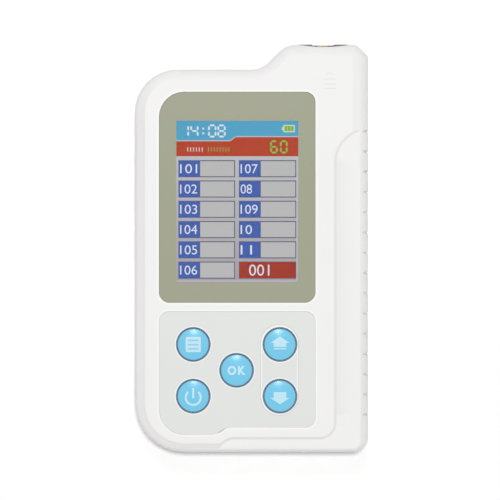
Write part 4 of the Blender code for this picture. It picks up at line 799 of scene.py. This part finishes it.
def makeLens():
    low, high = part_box("screen_lens")
    thick = lensSet["shadeThick"]
    bm = plate(lensCorners(lensSet["grow"]), low.z + lensSet["lift"] * thick, high.z, lensSet["segments"])
    easeEdges(bm, high.z, lensSet["lip"], lensSet["lipSegments"])
    left, foot, right, head = lensWindow()
    for more in (0, lensSet["under"]):
        for x in (left - more, right + more):
            cutAcross(bm, (x, 0, 0), (1, 0, 0))
        for y in (foot - more, head + more):
            cutAcross(bm, (0, y, 0), (0, 1, 0))
    for face in bm.faces:
        middle = face.calc_center_median()
        more = lensSet["under"] if face.normal.z < 0 else 0
        if left - more < middle.x < right + more and foot - more < middle.y < head + more:
            face.material_index = 2
        elif abs(face.normal.z) < lensSet["side"]:
            face.material_index = 1
    # painted shade: a dark band under the lens round the window's edge
    out = lensSet["shadeOut"]
    outline = strip(left - out, foot - out, right + out, head + out)
    joinInto(bm, hoop(outline, lensSet["shadeIn"] + out, low.z, low.z + thick, 1), 3)
    tones = [lensBorder, lensEdge, lensClear, lensShade]
    finishPiece("screenLens", bm, tones, ("screen_lens",), weighted=True)


makeLens()

# Places and sizes with no unit here are points of the picture
screenSet = {
    "ground": (168, 112, 306, 291),
    "barFoot": ((168, 140.8), (230.1, 140.8), (235.8, 136.7), (306, 136.7)),
    "ruleHalf": 0.45,
    "bandFoot": 156.3,
    "clock": (("1", 181.7), ("4", 191.2), ("0", 209.0), ("8", 218.3)),
    "clockHead": 125.4,
    "digit": (6.5, 11.2, 1.9),  # width, height and bar of a clock figure
    "colon": (202.4, 204.2, 127.6, 132.4, 1.9),
    "count": (("6", 271.0), ("0", 280.9)),
    "countHead": 141.2,
    "countDigit": (5.9, 11.4, 1.8),
    "battery": (283.4, 124.9, 294.8, 132.3),
    "batteryNub": (281.9, 127.2, 283.6, 130.0),
    "batteryWall": 1.0,
    "cells": (284.8, 288.1, 291.4),
    "cell": (1.9, 126.3, 130.9),
    "strokes": (("faint", 187.2, 6), ("olive", 208.0, 8)),  # colour, first place and count
    "stroke": (1.1, 2.9, 147.3, 151.7),  # width, pitch, head and foot
    "labels": (("101", "102", "103", "104", "105", "106"), ("107", "08", "109", "10", "11")),
    "labelEdge": 1.2,
    "labelTall": 9.2,
    "labelWide": 5.7,  # of one figure, with its share of the gaps
    "serial": "001",
    "serialPlace": (259.2, 20.4),
    "serialTall": 11.2,
    "rowFirst": 160.7,
    "rowPitch": 20.27,
    "rowTall": 16.1,
    "rows": 6,
    "columns": ((178.9, 199.7, 234.6), (239.4, 260.3, 295.8)),
    "fieldLine": 0.5,
    # painted highlight lines along the window's right side and foot
    "frame": (170, 296.4, 156.3, 280.6),
    "edgeHighlightWide": 0.8,
    "lift": 0.02 * mm,  # the first layer over the panel
    "layer": 0.04 * mm,
    "fill": 0.7,  # how much of its layer a plate fills
    "barGap": 0.3,  # between the bars of a figure, in bar widths
    "sharp": 20.0,  # degrees
    "shine": 0.95,
    "groundTones": (tone(172, 165, 173), tone(201, 203, 210)),  # at the foot and at the head
    "groundDepth": 0.14,
    "colours": {
        "blue": tone(76, 165, 204),
        "red": tone(184, 58, 22),
        "tag": tone(60, 92, 176),
        "field": tone(191, 190, 192),
        "rule": tone(200, 203, 206),
        "ink": tone(222, 229, 242),
        "green": tone(124, 202, 78),
        "olive": tone(166, 150, 70),
        "faint": tone(226, 190, 188),
        "outline": tone(96, 94, 112),
        "redField": tone(166, 44, 22),
        "charge": tone(214, 230, 190),
        "cell": tone(122, 176, 66),
        "gap": tone(176, 196, 122),
    },
}
segmentsOf = {
    "0": "abcdef", "1": "bc", "2": "abged", "3": "abgcd", "4": "fgbc",
    "5": "afgcd", "6": "afgedc", "7": "abc", "8": "abcdefg", "9": "abcdfg",
}


def digitBars(digit, x, y, width, height, bar):
    # the lit bars of one digit as outlines, from its top left
    half = height / 2
    ends = {
        "a": (x, y, x + width, y),
        "g": (x, y + half, x + width, y + half),
        "d": (x, y + height, x + width, y + height),
        "f": (x, y, x, y + half),
        "b": (x + width, y, x + width, y + half),
        "e": (x, y + half, x, y + height),
        "c": (x + width, y + half, x + width, y + height),
    }
    gap = bar * screenSet["barGap"]
    side = bar / 2
    outlines = []
    for name in segmentsOf[digit]:
        x0, y0, x1, y1 = ends[name]
        if name in "agd":
            x0, x1 = x0 + gap, x1 - gap
            outlines.append(
                [(x0, y0), (x0 + side, y0 - side), (x1 - side, y0 - side),
                 (x1, y0), (x1 - side, y0 + side), (x0 + side, y0 + side)]
            )
        else:
            y0, y1 = y0 + gap, y1 - gap
            outlines.append(
                [(x0, y0), (x0 + side, y0 + side), (x0 + side, y1 - side),
                 (x0, y1), (x0 - side, y1 - side), (x0 - side, y0 + side)]
            )
    return outlines


class screenStack:
    # thin plates laid on the display panel; their layers are counted from the panel up
    def __init__(self):
        self.bm = bmesh.new()
        self.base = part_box("display_panel")[1].z + screenSet["lift"]

    def lay(self, outline, layer, material):
        low = self.base + layer * screenSet["layer"]
        corners = [(*seen(column, row, low), 0.0) for column, row in outline]
        joinInto(self.bm, plate(corners, low, low + screenSet["layer"] * screenSet["fill"]), material)

    def block(self, x0, y0, x1, y1, layer, material):
        self.lay([(x0, y0), (x0, y1), (x1, y1), (x1, y0)], layer, material)

    def digits(self, letters, y, size, layer, material):
        for letter, x in letters:
            for outline in digitBars(letter, x, y, *size):
                self.lay(outline, layer, material)

    def figures(self, text, x, y, wide, tall, layer, material):
        # figures of this width and height, centred on a point of the picture
        low = self.base + layer * screenSet["layer"]
        place = seen(x, y, low)
        far = seen(x + wide, y + tall, low)
        size = (abs(far[0] - place[0]), abs(far[1] - place[1]))
        bm = words(text, size[1], low, low + screenSet["layer"] * screenSet["fill"])
        half = max(vert.co.x for vert in bm.verts)
        bmesh.ops.scale(bm, verts=bm.verts, vec=(size[0] / 2 / half, 1, 1))
        bmesh.ops.translate(bm, verts=bm.verts, vec=(*place, 0))
        joinInto(self.bm, bm, material)


def makeScreenGround():
    # soft grey ground that darkens towards the foot of the screen
    material, tree, shader = startMaterial("screenGround", Emission_Strength=screenSet["shine"], **unlit)
    foot, head = lensWindow()[1::2]
    above = maths(tree, "SUBTRACT", separate(tree, objectPlace(tree))["Y"], foot)
    share = maths(tree, "DIVIDE", above, head - foot, clamp=True)
    mixed = blend(tree, share, *screenSet["groundTones"])
    shown = placeGroup(tree, pixelGrid, Colour=mixed, Depth=screenSet["groundDepth"])
    fill(tree, shader, Emission_Color=shown["Colour"])
    return material


def makeScreen():
    colours = screenSet["colours"]
    materials = [makeScreenGround()]
    pick = {}
    for name, colour in colours.items():
        pick[name] = len(materials)
        materials.append(screenInk("screen" + name[0].upper() + name[1:], colour, screenSet["shine"]))
    stack = screenStack()
    ground = screenSet["ground"]
    stack.block(*ground, 0, 0)
    # top bar with its stepped foot, the red band under it, and the rule between them
    foot = list(screenSet["barFoot"])
    rule = screenSet["ruleHalf"]
    stack.lay([(ground[0], ground[1]), *foot, (ground[2], ground[1])], 1, pick["blue"])
    bandFoot = screenSet["bandFoot"]
    stack.lay([*foot, (ground[2], bandFoot), (ground[0], bandFoot)], 1, pick["red"])
    above = [(x, y - rule) for x, y in foot]
    stack.lay(above + [(x, y + rule) for x, y in foot[::-1]], 2, pick["rule"])
    # clock, charge mark and count
    stack.digits(screenSet["clock"], screenSet["clockHead"], screenSet["digit"], 2, pick["ink"])
    left, right, upper, lower, dot = screenSet["colon"]
    for y in (upper, lower):
        stack.block(left, y, right, y + dot, 2, pick["ink"])
    stack.digits(screenSet["count"], screenSet["countHead"], screenSet["countDigit"], 2, pick["green"])
    x0, y0, x1, y1 = screenSet["battery"]
    wall = screenSet["batteryWall"]
    stack.block(x0, y0, x1, y1, 2, pick["charge"])
    stack.block(*screenSet["batteryNub"], 2, pick["charge"])
    stack.block(x0 + wall, y0 + wall, x1 - wall, y1 - wall, 3, pick["gap"])
    wide, upper, lower = screenSet["cell"]
    for x in screenSet["cells"]:
        stack.block(x, upper, x + wide, lower, 4, pick["cell"])
    # two groups of plain strokes on the red band
    wide, pitch, head, low = screenSet["stroke"]
    for name, first, count in screenSet["strokes"]:
        for index in range(count):
            x = first + index * pitch
            stack.block(x, head, x + wide, low, 2, pick[name])
    # two columns of numbered tags with their empty fields
    line = screenSet["fieldLine"]
    for column, labels in zip(screenSet["columns"], screenSet["labels"]):
        for row in range(screenSet["rows"]):
            y0 = screenSet["rowFirst"] + row * screenSet["rowPitch"]
            y1 = y0 + screenSet["rowTall"]
            x0, x1, x2 = column
            stack.block(x0 - line, y0 - line, x2 + line, y1 + line, 1, pick["outline"])
            if row == len(labels):
                stack.block(x0, y0, x2, y1, 2, pick["redField"])
                x, wide = screenSet["serialPlace"]
                tall = screenSet["serialTall"]
                stack.figures(screenSet["serial"], x, (y0 + y1) / 2, wide, tall, 3, pick["ink"])
                continue
            stack.block(x0, y0, x1, y1, 2, pick["tag"])
            stack.block(x1 + line, y0 + line, x2 - line, y1 - line, 2, pick["field"])
            wide = screenSet["labelWide"] * len(labels[row])
            middle = x0 + screenSet["labelEdge"] + wide / 2
            stack.figures(labels[row], middle, (y0 + y1) / 2, wide, screenSet["labelTall"], 3, pick["ink"])
    # painted highlight: bright lines at the panel's right side and foot, where light catches the border's
    # edge
    x0, x1, y0, y1 = screenSet["frame"]
    wide = screenSet["edgeHighlightWide"]
    stack.block(x1, y0, x1 + wide, y1, 4, pick["rule"])
    stack.block(x0, y1, x1, y1 + wide, 4, pick["rule"])
    finishPiece("screenImage", stack.bm, materials, sharp=screenSet["sharp"])


makeScreen()
print("lens and screen made")

keySet = {
    "radius": 5.0 * mm,
    "ease": 0.13 * mm,
    "proud": 0.25 * mm,
    "dome": 0.55 * mm,
    "flange": 1.1 * mm,
    "flangeTop": 2.5 * mm,  # below the front face
    "flangeThick": 0.8 * mm,
    "stem": 1.6 * mm,
    "stemRoom": 0.22 * mm,  # keeps the pressed stem off the snap dome, which can't give way
    "steps": 96,
    "rings": 28,
    "easeSteps": 4,
    "sharp": 35.0,  # degrees
    "clear": 0.12 * mm,
    "rimWidth": 0.3 * mm,  # darker ring on the cap's shoulder, painted shade of the gap round the key
}
keyNames = ("menu", "up", "ok", "power", "down")
keyPlace = {}
for name in keyNames:
    low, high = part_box(name + "_key")
    keyPlace[name] = ((low.x + high.x) / 2, (low.y + high.y) / 2, high.z - keySet["proud"] - keySet["dome"])


def spun(profile, steps):
    # turns a profile of (radius, height) points about the upright axis
    bm = bmesh.new()
    verts = [bm.verts.new((radius, 0, height)) for radius, height in profile]
    edges = [bm.edges.new(pair) for pair in zip(verts, verts[1:])]
    bmesh.ops.spin(
        bm, geom=verts + edges, cent=(0, 0, 0), axis=(0, 0, 1), dvec=(0, 0, 0),
        angle=2 * math.pi, steps=steps, use_merge=True, use_duplicate=False,
    )
    bmesh.ops.remove_doubles(bm, verts=bm.verts, dist=meshSet["weld"])
    bmesh.ops.recalc_face_normals(bm, faces=bm.faces)
    return bm


def domeHeight(share):
    # the cap's height over the front face at this share of its radius
    return keySet["proud"] + keySet["dome"] * (1 - share**2)


def capProfile(bottom):
    radius, ease = keySet["radius"], keySet["ease"]
    crown = radius - ease
    last = (radius - keySet["rimWidth"]) / crown
    shares = [last * index / keySet["rings"] for index in range(keySet["rings"] + 1)] + [1.0]
    profile = [(crown * share, domeHeight(share)) for share in shares]
    for index in range(1, keySet["easeSteps"] + 1):
        angle = math.radians(90 * index / keySet["easeSteps"])
        height = keySet["proud"] - 2 * ease * (1 - math.cos(angle))
        profile.append((crown + ease * math.sin(angle), height))
    wide = radius + keySet["flange"]
    top = -keySet["flangeTop"]
    foot = top - keySet["flangeThick"]
    profile += [(radius, top), (wide, top), (wide, foot)]
    profile += [(keySet["stem"], foot), (keySet["stem"], bottom), (0, bottom)]
    return profile


def ring(outer, inner, thick, steps=48):
    return spun([(inner, 0), (outer, 0), (outer, thick), (inner, thick), (inner, 0)], steps)


def openRing(outer, inner, thick, opening):
    # a ring with a gap at its top, this many degrees to each side
    bm = ring(outer, inner, thick)
    angle = math.radians(opening)
    for side in (-1, 1):
        cutAcross(bm, (0, 0, 0), (math.cos(angle), -side * math.sin(angle), 0))
    gone = []
    for face in bm.faces:
        middle = face.calc_center_median()
        if middle.y > abs(middle.x) / math.tan(angle):
            gone.append(face)
    bmesh.ops.delete(bm, geom=gone, context="FACES")
    bmesh.ops.holes_fill(bm, edges=[edge for edge in bm.edges if edge.is_boundary], sides=8)
    return bm


signSet = {
    "thick": 0.035 * mm,
    "lift": 0.005 * mm,  # over the cap
    "lineRise": 1.6,  # the menu's lines, in thicknesses of the sign
    "cuts": 6,  # to each side of the middle, so that a sign follows the dome
    "cutPitch": 0.5,  # millimetres
    "menuHalf": 2.35 * mm,
    "menuCorner": 0.35 * mm,
    "menuLines": (1.28 * mm, -0.03 * mm, -1.34 * mm),
    "menuLine": (1.65 * mm, 0.27 * mm),  # half length and half height
    "ok": (2.85 * mm, 0.92, 0.05, 1.25),  # height, width share, weight and letter spacing
    "powerRing": (2.62 * mm, 1.98 * mm, 42),  # outer and inner radius, half opening in degrees
    "powerDrop": 0.36 * mm,
    "powerBar": (0.32 * mm, -0.6 * mm, 2.55 * mm),
    "arrow": (2.5, 2.95, 1.95, 0.5),  # tip, half widths of head and shaft, head's foot; millimetres
    "upShaft": -0.75,
    "downShaft": -1.3,
    "arrowLine": (1.95 * mm, -1.5 * mm, -1.1 * mm),
}


def arrowCorners(shaft, turn):
    # an arrow whose shaft ends at this height, upside down where turn is -1
    tip, half, narrow, step = signSet["arrow"]
    outline = [(0, tip), (-half, step), (-narrow, step), (-narrow, shaft)]
    outline += [(narrow, shaft), (narrow, step), (half, step)]
    return [(x * mm, y * turn * mm, 0) for x, y in outline]


def iconParts(name):
    # flat shapes of one key's sign with their materials, about the key's centre
    thick = signSet["thick"]
    if name == "menu":
        half = signSet["menuHalf"]
        length, height = signSet["menuLine"]
        parts = [(plate(strip(-half, -half, half, half, signSet["menuCorner"]), 0, thick), 0)]
        for y in signSet["menuLines"]:
            line = strip(-length, y - height, length, y + height)
            parts.append((plate(line, thick, thick * signSet["lineRise"]), 1))
        return parts
    if name == "ok":
        height, *style = signSet["ok"]
        return [(words("OK", height, 0, thick, *style), 0)]
    if name == "power":
        outer, inner, opening = signSet["powerRing"]
        loop = openRing(outer, inner, thick, opening)
        bmesh.ops.translate(loop, verts=loop.verts, vec=(0, -signSet["powerDrop"], 0))
        half, foot, head = signSet["powerBar"]
        return [(loop, 0), (plate(strip(-half, foot, half, head), 0, thick), 0)]
    if name == "down":
        return [(plate(arrowCorners(signSet["downShaft"], -1), 0, thick), 0)]
    half, foot, head = signSet["arrowLine"]
    arrow = plate(arrowCorners(signSet["upShaft"], 1), 0, thick)
    return [(arrow, 0), (plate(strip(-half, foot, half, head), 0, thick), 0)]


def makeKeys():
    for name in keyNames:
        x, y, face = keyPlace[name]
        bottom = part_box(name + "_key")[0].z - face + keySet["stemRoom"]
        bm = spun(capProfile(bottom), keySet["steps"])
        for item in bm.faces:
            middle = item.calc_center_median()
            away = math.hypot(middle.x, middle.y)
            # painted shade: the cap's outer shoulder takes the darker rim colour
            item.material_index = 0 if away < keySet["radius"] - keySet["rimWidth"] and middle.z > 0 else 1
        bmesh.ops.translate(bm, verts=bm.verts, vec=(x, y, face))
        body = name + "_button"
        finishPiece(name + "Cap", bm, [keyBlue, keyRimShade], (name + "_key",), body, keySet["sharp"])
        sign = bmesh.new()
        for part, material in iconParts(name):
            joinInto(sign, part, material)
        for step in range(-signSet["cuts"], signSet["cuts"] + 1):
            for normal in ((1, 0, 0), (0, 1, 0)):
                cutAcross(sign, Vector(normal) * step * signSet["cutPitch"] * mm, normal)
        for vert in sign.verts:
            share = min(1.0, math.hypot(vert.co.x, vert.co.y) / (keySet["radius"] - keySet["ease"]))
            vert.co.z += domeHeight(share) + signSet["lift"]
        bmesh.ops.translate(sign, verts=sign.verts, vec=(x, y, face))
        finishPiece(name + "Sign", sign, [iconPale, iconMiddle], body=body)


makeKeys()

filmSet = {
    "radius": 2.9 * mm,
    "heel": 7.9 * mm,
    "tail": 2.3 * mm,
    "tailAlong": 20.6 * mm,
    "tailRun": 3.1 * mm,
    "tailRadius": 4.3 * mm,
    "shadeRing": 0.26 * mm,
    "halo": 0.3 * mm,
    "haloTall": 0.018 * mm,  # lower than the capsule lines that cross it
    "ringGap": 0.02 * mm,
    "print": 0.03 * mm,
    "capsule": (260.2, 324.2, 298.8, 415.6),  # in points of the picture
    "capsuleLine": 0.24 * mm,
    "capsuleRound": 0.999,  # of a full half circle at its ends
    "capsuleSegments": 20,
    "segments": 12,
    "ease": 0.05 * mm,
    "grow": 0.2 * mm,  # fills most of the gap to the case
    "slant": 0.3,  # how far the tail's bend moves along as the film grows
    "rimGap": 0.3 * mm,
    "rimWide": 0.45 * mm,  # bright rim of the case round the film, a painted highlight of its edge
    "rimProud": 0.02 * mm,
}


def filmCorners(grow):
    low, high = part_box("keypad_overlay")
    foot = low.y + filmSet["tail"] - grow
    tailX = low.x + filmSet["tailAlong"] + grow * filmSet["slant"]
    radius = filmSet["radius"] + grow
    tail = filmSet["tailRadius"]
    return [
        (low.x - grow, low.y - grow, filmSet["heel"] + grow),
        (tailX - filmSet["tailRun"], low.y - grow, tail + grow),
        (tailX, foot, tail - grow),
        (high.x + grow, foot, radius),
        (high.x + grow, high.y + grow, radius),
        (low.x - grow, high.y + grow, radius),
    ]


def makeFilm():
    low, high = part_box("keypad_overlay")
    hole = keySet["radius"] + keySet["clear"]
    steps = keySet["steps"]
    bm = flatShape(filmCorners(filmSet["grow"]), low.z, filmSet["segments"])
    bmesh.ops.delete(bm, geom=bm.faces[:], context="FACES_ONLY")
    for x, y, face in keyPlace.values():
        place = Matrix.Translation((x, y, low.z))
        bmesh.ops.create_circle(bm, cap_ends=False, radius=hole, segments=steps, matrix=place)
    bmesh.ops.triangle_fill(bm, edges=bm.edges[:], use_beauty=True, use_dissolve=False, normal=(0, 0, 1))
    raiseFaces(bm, high.z - low.z)
    easeEdges(bm, high.z, filmSet["ease"], 1)
    finishPiece("keypadFilm", bm, [filmGrey], ("keypad_overlay",))
    # round each key a dark ring of painted shade, two prints thick, over a pale halo
    prints = bmesh.new()
    inner = hole + filmSet["ringGap"]
    dark = inner + filmSet["shadeRing"]
    for x, y, face in keyPlace.values():
        place = Matrix.Translation((x, y, high.z))
        halo = ring(dark + filmSet["halo"], inner + filmSet["ringGap"], filmSet["haloTall"], steps)
        joinInto(prints, halo, 0, place)
        joinInto(prints, ring(dark, inner, filmSet["print"] * 2, steps), 2, place)
    # embossed line round the two arrow keys: grey outside, white inside
    column, row, lastColumn, lastRow = filmSet["capsule"]
    left, head = seen(column, row, high.z)
    right, foot = seen(lastColumn, lastRow, high.z)
    for index, material in enumerate((1, 0)):
        inset = filmSet["capsuleLine"] * index
        half = (right - left) / 2 - inset
        half *= filmSet["capsuleRound"]
        outline = strip(left + inset, foot + inset, right - inset, head - inset, half)
        top = high.z + filmSet["print"] * (1 + index)
        line = hoop(outline, filmSet["capsuleLine"], high.z, top, filmSet["capsuleSegments"])
        joinInto(prints, line, material)
    finishPiece("keypadPrint", prints, [printWhiteAndRimHighlight, printGrey, keyRimShade])


def makeRims():
    # painted highlight: bright bands on the case's edge round the lens and the film
    bm = bmesh.new()
    for index, (made, values) in enumerate(((lensCorners, lensSet), (filmCorners, filmSet))):
        wide = values["rimGap"] + values["rimWide"]
        low, high = frontZ - values["rimProud"], frontZ + values["rimProud"]
        joinInto(bm, hoop(made(wide), values["rimWide"], low, high, lensSet["segments"]), index)
    finishPiece("caseRims", bm, [caseRimHighlight, printWhiteAndRimHighlight])


makeFilm()
makeRims()
print("keys and keypad film made")

markSet = {
    "rows": (79.0, 84.0, 88.5),
    "left": 324.0,
    "right": 336.0,
    "bar": 1.0,
    "barRound": 0.45,  # corner radius, of the bar's height
    "bow": (330, 77.5),
    "bowRing": (1.55 * mm, 1.25 * mm, 120),
    "proud": 0.08 * mm,
}


def makeTowerMark():
    # three short raised bars and a small bow over the tray's end, a little darker than the case as painted
    # shade
    bm = bmesh.new()
    for row in markSet["rows"]:
        x0, y0 = seen(markSet["left"], row - markSet["bar"] / 2, frontZ)
        x1, y1 = seen(markSet["right"], row + markSet["bar"] / 2, frontZ)
        bar = strip(x0, y0, x1, y1, abs(y1 - y0) * markSet["barRound"])
        joinInto(bm, plate(bar, frontZ, frontZ + markSet["proud"], 3))
    x, y = seen(*markSet["bow"], frontZ)
    outer, inner, opening = markSet["bowRing"]
    bow = openRing(outer, inner, markSet["proud"], opening)
    bmesh.ops.rotate(bow, verts=bow.verts, matrix=Matrix.Rotation(math.pi, 3, "Z"))
    joinInto(bm, bow, 0, Matrix.Translation((x, y, frontZ)))
    finishPiece("towerMark", bm, [markShade])


makeTowerMark()

bpy.context.scene.view_settings.view_transform = "Standard"
